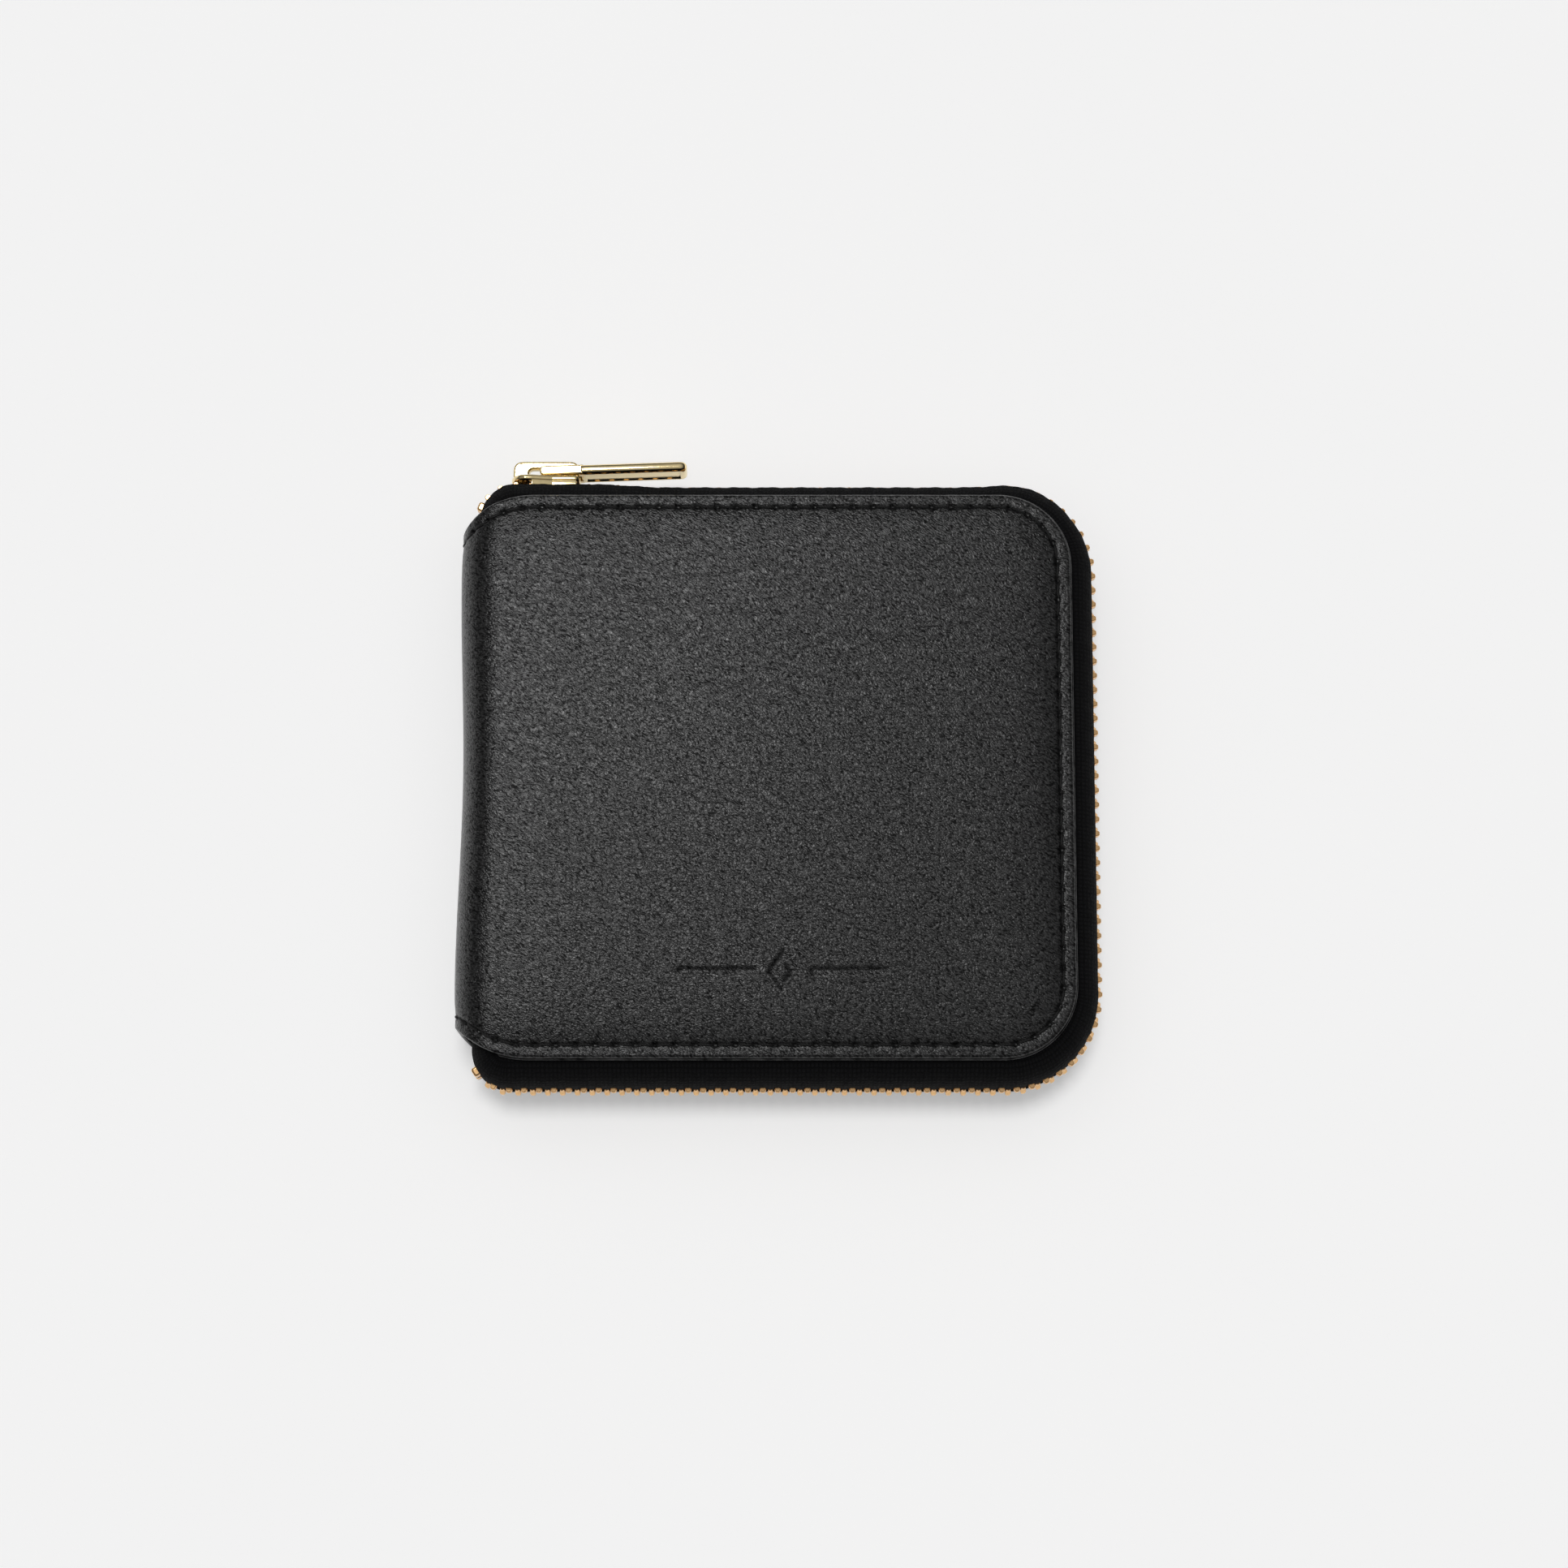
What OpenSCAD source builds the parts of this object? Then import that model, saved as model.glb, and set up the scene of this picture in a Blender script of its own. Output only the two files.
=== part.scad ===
// Zip-around wallet: a leather cover that folds round a spine, closed on three
// sides by a metal zip, with card slots inside the front and a zipped coin
// pocket inside the back.
// The wallet lies on its back: X runs from the spine to the zip side, Y along
// the spine, +Z from the back cover to the front cover. Millimetres.

/* [Wallet] */
// Width from the spine's outside to the covers' far edge
body_w = 104.4; // [86:0.2:200]
// Height of the covers along the spine
body_h = 97; // [94:0.5:220]
// Thickness across both covers when zipped
body_t = 22; // [21:0.5:34]
// Corner radius of the covers on the zip side
corner_r = 12.5; // [9:0.5:20]
// Outside radius of the two bends of the spine
spine_r = 7; // [5.5:0.25:9]
// How far the cover's edge dips towards the spine's middle
waist_dip = 5.3; // [3:0.1:8]
// Length along X over which that dip happens
waist_len = 13.1; // [11:0.1:20]

/* [Layers] */
// Thickness of the outer leather
leather_t = 1.2; // [0.8:0.1:2]
// Thickness of the stiffener behind it
board_t = 0.8; // [0.5:0.1:1.4]
// How far the stiffener's painted edge stands out past the leather
board_proud = 0.6; // [0:0.1:1]
// Thickness of the zip tape
tape_t = 0.5; // [0.3:0.05:0.7]
// Thickness of the lining
lining_t = 0.5; // [0.3:0.1:1]
// Thickness of the inside panels and card slots
panel_t = 0.7; // [0.5:0.1:1]
// Distance from the covers' edge to the inside panels
panel_inset = 3; // [2.5:0.1:6]

/* [Stitching] */
// Distance from the leather's edge to the seam
seam_inset = 3.2; // [2.5:0.1:5]
// Length from one stitch to the next
stitch_pitch = 3.25; // [2.5:0.05:5]
// Thread thickness
thread_w = 0.7; // [0.4:0.05:0.8]

/* [Main zip] */
// Reach of the teeth past the covers' edge at the right and the bottom
zip_reach = 4.8; // [4.4:0.1:8]
// Reach of the teeth past the covers' edge along the slider's run
zip_reach_top = 4; // [3.8:0.1:8]
// Distance between two teeth of one row
tooth_pitch = 2.5; // [2.2:0.05:4]
// Thickness of the teeth, outside to inside
tooth_t = 2.4; // [1.8:0.1:2.6]
// Radius of the zip at its tucked ends
zip_end_r = 6; // [5:0.25:8]
// Travel of the slider along the straight run
slider_travel = 70; // [30:1:70]

/* [Card slots] */
// Largest distance between two slot edges
slot_step = 12; // [8:0.5:14]
// Length of the shortest slot panel
slot_depth = 42; // [30:1:45]

/* [Coin pocket] */
// Length of the coin pocket's window
window_len = 74; // [50:1:76]
// Width of the coin pocket's window
window_w = 8; // [8:0.2:10]
// Distance of the coin zip from the spine bend
coin_zip_from_fold = 23; // [17:0.5:30]
// Thickness of the coin bag
bag_t = 2.5; // [2.3:0.1:4]

/* [Hidden] */
$fn = 64;

// Faces that only touch on moving parts are held this far apart
gap = 0.1;
eps = 0.01;
leather = [0.07, 0.07, 0.075];
brass = [0.83, 0.66, 0.3];
tape_black = [0.03, 0.03, 0.035];
lining_grey = [0.14, 0.14, 0.15];

// The wallet's edges, with the origin in the middle of its footprint
x_left = -(body_w + zip_reach) / 2;
x_right = x_left + body_w;
x_fold = x_left + spine_r;
x_waist = x_left + waist_len;
waist_r = (waist_len * waist_len + waist_dip * waist_dip) / (2 * waist_dip);
mid_z = body_t / 2;

// Depths below the outside face, the same at the front and the back
board_d = leather_t;
tape_d = board_d + board_t;
lining_d = tape_d + tape_t;
panel_d = lining_d + lining_t;
inside_d = panel_d + panel_t;

// The hinge lines that let a bend unroll flat
hinge_off = spine_r * (1 - PI / 4);
// Half the angle left open where a bend is split between two bodies
split_a = 1;

// ---------------------------------------------------------------- outlines

// The covers' outline at an inset: round corners on the zip side, and long
// soft ones towards the spine, which run on past x_left
module outline(inset) {
    h = body_h / 2 - inset;
    r = corner_r - inset;
    w = waist_r - inset;
    x = x_right - inset;
    translate([x_waist, -h]) square([x - r - x_waist, 2 * h]);
    translate([x - r, r - h]) square([r, 2 * (h - r)]);
    translate([x_waist - w, w - h]) square([w, 2 * (h - w)]);
    for (side = [-1, 1]) {
        translate([x - r, side * (h - r)]) circle(r);
        translate([x_waist, side * (h - w)]) circle(w);
    }
}

// A flat layer of that outline from x_from to the zip side
module layer(inset, x_from, thick) {
    linear_extrude(thick) intersection() {
        outline(inset);
        translate([x_from, -body_h]) square([body_w, 2 * body_h]);
    }
}

// Puts a layer of the back at a depth below the outside face
module at_back(depth) {
    translate([0, 0, depth]) children();
}

// Puts a layer of the front at a depth below the outside face
module at_front(depth, thick) {
    translate([0, 0, body_t - depth - thick]) children();
}

// A slice of ring between two angles, in the plane of the spine's section
module ring_slice(outer, inner, a, b) {
    far = 2 * outer;
    difference() {
        intersection() {
            circle(outer);
            polygon([[0, 0], far * [cos(a), sin(a)],
                     far * [cos((a + b) / 2), sin((a + b) / 2)], far * [cos(b), sin(b)]]);
        }
        circle(inner);
    }
}

// One part of the band that wraps round the spine, between two depths
module wrap(part, depth, thick) {
    outer = spine_r - depth;
    top = [x_fold, body_t - spine_r];
    low = [x_fold, spine_r];
    rotate([90, 0, 0]) linear_extrude(2 * body_h, center = true) {
        if (part == "front")
            translate(top) ring_slice(outer, outer - thick, 90, 135 - split_a);
        if (part == "back")
            translate(low) ring_slice(outer, outer - thick, 225 + split_a, 270);
        if (part == "spine") {
            translate(top) ring_slice(outer, outer - thick, 135 + split_a, 180);
            translate(low) ring_slice(outer, outer - thick, 180, 225 - split_a);
            translate([x_left + depth, spine_r]) square([thick, body_t - 2 * spine_r]);
        }
    }
}

// Trims a wrap to the covers' outline
module trimmed(inset) {
    intersection() {
        children();
        translate([0, 0, -eps]) linear_extrude(body_t + 2 * eps) outline(inset);
    }
}

// The groove that a cover's seam lies in, cut from its outside face
module seam_groove(z) {
    translate([0, 0, z]) linear_extrude(2 * groove_d, center = true) difference() {
        outline(board_proud + seam_inset - groove_w / 2);
        outline(board_proud + seam_inset + groove_w / 2);
    }
}

groove_w = thread_w + 0.4;
groove_d = 0.45;

// ------------------------------------------------------------------ covers

module cover_back() {
    color(leather) difference() {
        union() {
            layer(board_proud, x_fold, leather_t);
            trimmed(board_proud) wrap("back", 0, leather_t);
        }
        seam_groove(0);
    }
}

module cover_front() {
    color(leather) difference() {
        union() {
            at_front(0, leather_t) layer(board_proud, x_fold, leather_t);
            trimmed(board_proud) wrap("front", 0, leather_t);
        }
        seam_groove(body_t);
        motif();
    }
}

// The plain pressed mark near the cover's lower edge: a lozenge between two bars
module motif() {
    translate([motif_x, motif_from_edge - body_h / 2, body_t - motif_d]) linear_extrude(1) {
        polygon([[-2.6, 0], [0, 3.6], [2.6, 0], [0, -3.6]]);
        for (side = [-1, 1]) translate([side * 11, 0]) square([13, 0.9], center = true);
    }
}
motif_x = 0.7;
motif_from_edge = 14.7;
motif_d = 0.15;

module cover_spine() {
    color(leather) difference() {
        trimmed(board_proud) wrap("spine", 0, leather_t);
        for (side = [-1, 1]) translate([x_left, side * spine_seam_y, mid_z])
            cube([2 * groove_d, groove_w, body_t - 2 * spine_r], center = true);
    }
}

module stiffener_back() {
    color([0.1, 0.1, 0.1]) at_back(board_d) layer(0, x_fold + spine_clear, board_t);
}

module stiffener_front() {
    color([0.1, 0.1, 0.1]) at_front(board_d, board_t) layer(0, x_fold + spine_clear, board_t);
}

module lining_back() {
    color(lining_grey) at_back(lining_d) layer(lining_inset, x_fold + spine_clear, lining_t);
}

module lining_front() {
    color(lining_grey) at_front(lining_d, lining_t)
        layer(lining_inset, x_fold + spine_clear, lining_t);
}

module lining_spine() {
    color(lining_grey) trimmed(spine_lining_inset) wrap("spine", leather_t, lining_t);
}

// The stiffeners and linings stop this short of the bend
spine_clear = 1;
lining_inset = 1.4;
spine_lining_inset = 1.6;

// ------------------------------------------------------------------- paths

// A path is a list of segments [point, heading, length, radius], run clockwise;
// a radius of 0 is straight
function dir(a) = [cos(a), sin(a)];
function seg_turn(seg) = seg[3] == 0 ? 0 : seg[2] / seg[3] * 180 / PI;
function seg_at(seg, s) =
    seg[3] == 0
    ? [seg[0] + s * dir(seg[1]), seg[1]]
    : let (c = seg[0] + seg[3] * dir(seg[1] - 90), a = s / seg[3] * 180 / PI)
      [c + seg[3] * dir(seg[1] + 90 - a), seg[1] - a];
function path_from(p, heading, steps, i = 0) =
    i == len(steps) ? [] :
    let (seg = [p, heading, steps[i][0], steps[i][1]], end = seg_at(seg, seg[2]))
    concat([seg], path_from(end[0], end[1], steps, i + 1));
function path_at(path, s, i = 0) =
    s <= path[i][2] || i == len(path) - 1 ? seg_at(path[i], s)
    : path_at(path, s - path[i][2], i + 1);
function path_len(path, n) = n == 0 ? 0 : path[n - 1][2] + path_len(path, n - 1);
function quarter(r) = r * PI / 2;

// Stands a shape at a point and heading of a path, with +Y pointing outwards
module on_path(at, z) {
    translate([at[0][0], at[0][1], z]) rotate([0, 0, at[1]]) children();
}

// Sweeps a section [outward, z] along some segments of a path
module sweep(path, segments) {
    for (i = segments) {
        seg = path[i];
        turn = seg_turn(seg);
        if (seg[3] == 0)
            translate([seg[0][0], seg[0][1], 0]) rotate([0, 0, seg[1] + 90])
                rotate([90, 0, 0]) linear_extrude(seg[2]) children();
        else {
            c = seg[0] + seg[3] * dir(seg[1] - 90);
            translate([c[0], c[1], 0]) rotate([0, 0, seg[1] + 90 - turn])
                rotate_extrude(angle = turn) translate([seg[3], 0]) children();
        }
    }
}

// ------------------------------------------------------------------ stitches

// The seam along the top, the zip side and the bottom of a cover
seam_d = board_proud + seam_inset;
seam_r = corner_r - seam_d;
seam_waist_r = waist_r - seam_d;
seam_end = 0.6;
seam_waist_a = asin((x_waist - x_fold - seam_end) / seam_waist_r);
seam_side = x_right - corner_r - x_waist;
seam_path = path_from(
    [x_waist - seam_waist_r * sin(seam_waist_a),
     body_h / 2 - waist_r + seam_waist_r * cos(seam_waist_a)],
    seam_waist_a,
    [[seam_waist_r * seam_waist_a * PI / 180, seam_waist_r], [seam_side, 0],
     [quarter(seam_r), seam_r], [body_h - 2 * corner_r, 0], [quarter(seam_r), seam_r],
     [seam_side, 0], [seam_waist_r * seam_waist_a * PI / 180, seam_waist_r]]);
seam_len = path_len(seam_path, len(seam_path));
stitch_len = stitch_pitch * 0.74;

// One stitch, flat on the groove's floor
module stitch(length) {
    cube([length, thread_w, thread_h], center = true);
}
thread_h = 0.35;
thread_z = groove_d - thread_h / 2 - eps;
spine_seam_y = body_h / 2 - waist_dip - seam_d;

module seam(z) {
    count = floor(seam_len / stitch_pitch);
    step = seam_len / count;
    for (i = [0 : count - 1]) on_path(path_at(seam_path, (i + 0.5) * step), z) stitch(stitch_len);
}

module seam_thread_back() {
    color([0.02, 0.02, 0.02]) seam(thread_z);
}

module seam_thread_front() {
    color([0.02, 0.02, 0.02]) seam(body_t - thread_z);
}

// The seam's stitches across the flat of the spine, at both of its ends
module seam_thread_spine() {
    flat = body_t - 2 * spine_r;
    count = max(1, floor(flat / stitch_pitch));
    color([0.02, 0.02, 0.02]) for (side = [-1, 1], i = [0 : count - 1])
        translate([x_left + thread_z, side * spine_seam_y, spine_r + flat * (i + 0.5) / count])
            rotate([0, 90, 0]) stitch(stitch_len);
}

// ---------------------------------------------------------------- main zip

// The middle of the chain: up out of the spine, along the slider's run, down
// the zip side, back along the bottom and into the spine again. The slider
// stands just past the end bend, and the rows part inside it
chain_top = body_h / 2 + zip_reach_top - tooth_t / 2;
chain_side = x_right + zip_reach - tooth_t / 2;
chain_low = -(body_h / 2 + zip_reach - tooth_t / 2);
chain_end = x_left + leather_t + lining_t + tooth_t / 2 + 0.5;
chain_r = corner_r + zip_reach - 1.8;
tuck = 3;
chain_run = chain_side - chain_r - chain_end - zip_end_r;
slider_len = 11.9;
slider_x = chain_end + zip_end_r - 1.1 + slider_len / 2;
parted_run = slider_x - 0.5 - (chain_end + zip_end_r);
mesh_from = tuck + quarter(zip_end_r) + parted_run;
chain_path = path_from(
    [chain_end, chain_top - zip_end_r - tuck], 90,
    [[tuck, 0], [quarter(zip_end_r), zip_end_r], [parted_run, 0], [chain_run - parted_run, 0],
     [quarter(chain_r), chain_r], [chain_top - chain_low - 2 * chain_r, 0],
     [quarter(chain_r), chain_r], [chain_run, 0],
     [quarter(zip_end_r), zip_end_r], [tuck, 0]]);
chain_len = path_len(chain_path, len(chain_path));

// Over this length before mesh_from the rows part by part_by each
part_over = 4.5;
part_by = 1.35;
first_tooth = tuck + quarter(zip_end_r) * 0.45;
last_tooth = chain_len - tuck - quarter(zip_end_r) * 0.45;

function smooth(t) = let (c = min(1, max(0, t))) c * c * (3 - 2 * c);
function parting(s) = part_by * smooth((mesh_from - s) / part_over);

// A tooth's own sizes: a body crimped on the tape's bead, and a narrower head
// that reaches between two heads of the other row
tooth_in = 0.9;
tooth_out = 2.9;
tooth_body_w = 1.1;
tooth_head_w = 0.95;
tooth_waist = tooth_in + 0.05;
crimp = tape_t + gap;

// One tooth of the front row, across z = 0, with the chain along X; its body
// is two jaws with the tape between them
module tooth(slot) {
    difference() {
        translate([-tooth_body_w / 2, -tooth_t / 2, tooth_waist - 0.4])
            cube([tooth_body_w, tooth_t, tooth_out - tooth_waist + 0.4]);
        translate([-tooth_body_w, -slot / 2, tooth_waist]) cube([2 * tooth_body_w, slot, tooth_out]);
    }
    translate([-tooth_head_w / 2, -tooth_t / 2 + 0.2, -tooth_in])
        cube([tooth_head_w, tooth_t - 0.4, tooth_in + tooth_waist + eps]);
}

module teeth_row(side) {
    count = floor((last_tooth - first_tooth) / tooth_pitch);
    for (i = [0 : count - 1]) {
        s = first_tooth + (i + (side > 0 ? 0 : 0.5)) * tooth_pitch;
        on_path(path_at(chain_path, s), mid_z + side * parting(s))
            scale([1, 1, side]) tooth(crimp);
    }
}

module zip_teeth_front() {
    color(brass) teeth_row(1);
}

module zip_teeth_back() {
    color(brass) teeth_row(-1);
}

// The tape: flat through the slider, then curved in under the cover's edge
tape_flat = 5;
tape_bead = 1;
tape_hem = 8.5;
tape_rise = mid_z - tape_d - tape_t / 2;
tape_in = 4.2;

// The tape's middle line as [outward, height above the chain]
tape_curve = [for (i = [0 : 10]) let (a = 90 * i / 10)
    [-tape_in * (1 - cos(a)), tape_flat + (tape_rise - tape_flat) * sin(a)]];

// Offsets the tape's middle line by half its thickness to make its section
module tape_section(bead) {
    t = tape_t / 2;
    n = len(tape_curve);
    line = concat([[0, bead]], tape_curve, [[-tape_hem, tape_rise]]);
    normals = [for (i = [0 : n + 1])
        i == 0 ? [1, 0] : i == n + 1 ? [0, 1] :
        let (a = 90 * max(0, i - 1) / 10, u = [cos(a), sin(a)]) u];
    polygon(concat([for (i = [0 : n + 1]) line[i] + t * normals[i]],
                   [for (i = [n + 1 : -1 : 0]) line[i] - t * normals[i]]));
}

// The narrow section of the tape at its tucked ends
module tape_end_section(low) {
    translate([-tape_t / 2, low]) square([tape_t, tape_flat + 2 - low]);
}

// The side's half of the tape along the whole chain
module tape(side) {
    translate([0, 0, mid_z]) scale([1, 1, side]) {
        sweep(chain_path, [3 : 7]) tape_section(tape_bead);
        sweep(chain_path, [2]) tape_section(tape_bead + part_by);
        sweep(chain_path, [0, 1]) tape_end_section(tape_bead + part_by);
        sweep(chain_path, [8, 9]) tape_end_section(tape_bead);
    }
}

module zip_tape_front() {
    color(tape_black) tape(1);
}

module zip_tape_back() {
    color(tape_black) tape(-1);
}

// A staple crimped over the tape's bead next to a row's last tooth
stop_w = 1.6;
module top_stop(side) {
    s = first_tooth - tooth_pitch * 0.75;
    on_path(path_at(chain_path, s), mid_z + side * part_by) scale([1, 1, side])
        difference() {
            translate([-stop_w / 2, -tooth_t / 2, tape_bead - 0.4])
                cube([stop_w, tooth_t, 2.4]);
            translate([-stop_w, -tape_t / 2 - gap / 2, tape_bead - gap])
                cube([2 * stop_w, tape_t + gap, 4]);
        }
}

module zip_top_stop_front() {
    color(brass) top_stop(1);
}

module zip_top_stop_back() {
    color(brass) top_stop(-1);
}

// The H-shaped stop that holds both tapes together at the far end
module zip_bottom_stop() {
    s = last_tooth + tooth_pitch * 0.35;
    color(brass) on_path(path_at(chain_path, s), mid_z) difference() {
        translate([-stop_w / 2, -tooth_t / 2, -tooth_out]) cube([stop_w, tooth_t, 2 * tooth_out]);
        for (side = [-1, 1]) scale([1, 1, side])
            translate([-stop_w, -tape_t / 2 - gap / 2, tape_bead - gap])
                cube([2 * stop_w, tape_t + gap, 4]);
    }
}

// ------------------------------------------------------------ slider and pull

// Sizes of a slider, in its own frame: the chain along X with the nose at -X,
// the face with the crown at +Y, the chain's width along Z
plate_t = 1;
cavity = tooth_t / 2 + 0.15;
slot_half = tape_t / 2 + 0.25;
flange_t = 0.6;
tail_w = tooth_out + 0.15 + flange_t;
nose_w = tooth_out + part_by + 0.2;
flange_from = -2.4;
flange_to = slider_len / 2 - 0.6;
wedge_w = 0.25;
crown_w = 2;
crown_h = 3.2;
crown_hole_w = 4.8;
crown_hole_h = 1.7;
pin_y = cavity + plate_t + 0.15 + crown_hole_h / 2;

// Half of the slider's plan as [along, half width], nose first
slider_plan = [[-slider_len / 2, 1.6], [-slider_len / 2 + 0.5, 3.2],
               [-slider_len / 2 + 1.4, nose_w - 0.4], [-slider_len / 2 + 2.4, nose_w],
               [flange_from, nose_w - 0.1], [1.2, tail_w],
               [slider_len / 2 - 0.6, tail_w], [slider_len / 2, tail_w - 0.6]];

// Extrudes a plan drawn in X and Z along Y
module along_y(from, thick) {
    translate([0, from + thick, 0]) rotate([90, 0, 0]) linear_extrude(thick) children();
}

module slider_plate() {
    polygon(concat(slider_plan,
                   [for (i = [len(slider_plan) - 1 : -1 : 0])
                       [slider_plan[i][0], -slider_plan[i][1]]]));
}

// The flange's plan on one side: the plan's edge from flange_from to the tail
module slider_flange_plan(side) {
    edge = [for (p = slider_plan) if (p[0] >= flange_from && p[0] <= flange_to) p];
    polygon(concat([for (p = edge) [p[0], side * p[1]]],
                   [for (i = [len(edge) - 1 : -1 : 0])
                       [edge[i][0], side * (edge[i][1] - flange_t)]]));
}

// The wedge between the two plates that parts the teeth
module slider_wedge() {
    half = slider_len / 2;
    polygon([[0.4 - half, 0], [0.9 - half, wedge_w], [1.5 - half, wedge_w], [2.3 - half, 0],
             [1.5 - half, -wedge_w], [0.9 - half, -wedge_w]]);
}

// The crown: a bridge over the top plate with a long hole for the pull's pin
module crown() {
    base = cavity + plate_t / 2;
    top = cavity + plate_t + crown_h;
    half = slider_len / 2 - 0.2;
    r = crown_h - 0.9;
    translate([0, 0, -crown_w / 2]) linear_extrude(crown_w) difference() {
        intersection() {
            translate([-half, base]) square([2 * half, top - base]);
            union() {
                translate([-half, base]) square([2 * half, top - base - r]);
                translate([r - half, base]) square([2 * (half - r), top - base]);
                for (side = [-1, 1]) translate([side * (half - r), top - r]) circle(r);
            }
        }
        for (side = [-1, 1])
            translate([side * (crown_hole_w - crown_hole_h) / 2 - 0.6, pin_y])
                circle(crown_hole_h / 2);
        translate([-(crown_hole_w - crown_hole_h) / 2 - 0.6, pin_y - crown_hole_h / 2])
            square([crown_hole_w - crown_hole_h, crown_hole_h]);
    }
}

module slider_body() {
    along_y(cavity, plate_t) slider_plate();
    along_y(-cavity - plate_t, plate_t) slider_plate();
    along_y(-cavity - eps, 2 * cavity + 2 * eps) slider_wedge();
    for (side = [-1, 1]) {
        along_y(slot_half, cavity - slot_half + eps) slider_flange_plan(side);
        along_y(-cavity - eps, cavity - slot_half + eps) slider_flange_plan(side);
    }
    crown();
}

// The pull: a flat bar on two arms, with a round pin through the crown's hole;
// it rests tipped up a little, and both its faces have a sunk panel
pull_len = 24.6;
pull_w = 6.4;
pull_t = 1.7;
pull_pin_r = 0.6;
pull_arm_gap = 2.6;
pull_arms = 6.7;
pull_pin_x = -0.2;
pull_tip_r = 1.4;
pull_tilt = 2;
sunk_rim = 1;
sunk_d = 0.2;

module pull_plan(length) {
    half = pull_w / 2;
    translate([0, -half]) square([length - pull_tip_r, pull_w]);
    translate([0, pull_tip_r - half]) square([length, pull_w - 2 * pull_tip_r]);
    for (side = [-1, 1]) translate([length - pull_tip_r, side * (half - pull_tip_r)])
        circle(pull_tip_r);
}

module pull_body(length) {
    sunk_len = length - pull_arms - 2 * sunk_rim - 0.6;
    translate([pull_pin_x, pin_y, 0]) rotate([0, 0, pull_tilt]) {
        translate([0, 0, -pull_w / 2 + 0.5]) cylinder(r = pull_pin_r, h = pull_w - 1);
        difference() {
            union() {
                along_y(-pull_t / 2, pull_t) pull_plan(length);
                translate([0, 0, -pull_w / 2]) cylinder(r = pull_t / 2, h = pull_w);
            }
            translate([-pull_t, -pull_t, -pull_arm_gap / 2])
                cube([pull_arms + pull_t, 2 * pull_t, pull_arm_gap]);
            for (side = [-1, 1])
                translate([pull_arms + sunk_rim, side * pull_t / 2 - sunk_d, sunk_rim - pull_w / 2])
                    cube([sunk_len, 2 * sunk_d, pull_w - 2 * sunk_rim]);
        }
    }
}

module at_main_slider() {
    translate([slider_x, chain_top, mid_z]) children();
}

module zip_slider() {
    color(brass) at_main_slider() slider_body();
}

module zip_pull() {
    color(brass) at_main_slider() pull_body(pull_len);
}

// --------------------------------------------------------------- card slots

slot_right = x_right - panel_inset;
slot_count = 4;
slot_room = slot_right - slot_depth - (x_fold + 8);
slot_gap = min(slot_step, slot_room / (slot_count - 1));

module card_backing() {
    color(leather) at_front(panel_d, panel_t) layer(panel_inset, x_fold + 4, panel_t);
}

// One stepped leather panel; slot 1 lies deepest and reaches furthest out
module card_slot(n) {
    x = slot_right - slot_depth - (slot_count - n) * slot_gap;
    depth = inside_d + (n - 1) * panel_t;
    color(leather) at_front(depth, panel_t) layer(panel_inset, x, panel_t);
}

// -------------------------------------------------------------- coin pocket

coin_x = x_fold + coin_zip_from_fold;
coin_scale = 0.78;
coin_tooth_t = tooth_t * coin_scale;
coin_level = inside_d + bag_t + tape_t / 2;
coin_half_w = 8;
bag_wall = 0.3;
bag_h = body_h - 2 * panel_inset - 9;

module note_panel() {
    color(leather) at_back(panel_d) layer(panel_inset, x_fold + 4, panel_t);
}

// The flat fabric bag, open upwards under the zip
module coin_bag() {
    x_from = coin_x - coin_half_w;
    long = x_right - panel_inset - 3.5 - x_from;
    color(lining_grey) translate([x_from, 0, inside_d]) difference() {
        translate([0, -bag_h / 2, 0]) cube([long, bag_h, bag_t]);
        translate([bag_wall, -bag_h / 2 + bag_wall, bag_wall])
            cube([long - 2 * bag_wall, bag_h - 2 * bag_wall, bag_t - 2 * bag_wall]);
        translate([coin_half_w - window_w / 2 - 0.6, -window_len / 2 - 1, bag_t / 2])
            cube([window_w + 1.2, window_len + 2, bag_t]);
    }
}

// The leather face of the pocket, with its round-ended window
module coin_panel() {
    z = coin_level + tape_t / 2;
    r = window_w / 2;
    color(leather) translate([0, 0, z]) difference() {
        layer(panel_inset, x_fold + 8, panel_t);
        translate([coin_x, 0, -eps]) linear_extrude(panel_t + 2 * eps) {
            translate([-r, -window_len / 2 + r]) square([window_w, window_len - window_w]);
            for (side = [-1, 1]) translate([0, side * (window_len / 2 - r)]) circle(r);
        }
    }
}

// One side's tape, with its edge set back where the rows are parted
module coin_tape(side) {
    for (part = [[-coin_tape_half, coin_mesh_y, 1.1], [coin_mesh_y, coin_tape_half, 1.1 + part_by]]) {
        inner = part[2] * coin_scale;
        color(tape_black) translate([coin_x + (side > 0 ? inner : -coin_half_w), part[0],
                                     coin_level - tape_t / 2])
            cube([coin_half_w - inner, part[1] - part[0], tape_t]);
    }
}
coin_tape_half = window_len / 2 + 2;

// The coin zip's chain runs along +Y, its face up; it is closed with the
// slider near the top end of the window
module at_coin_chain(y) {
    translate([coin_x, y, coin_level]) rotate([0, 0, -90]) rotate([90, 0, 0])
        scale(coin_scale) children();
}

coin_pitch = tooth_pitch * coin_scale;
coin_slider_y = window_len / 2 - 8;
coin_mesh_y = coin_slider_y + 0.5 * coin_scale;
coin_teeth_from = -window_len / 2 + 3;
coin_teeth_to = window_len / 2 - 2.6;

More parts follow.
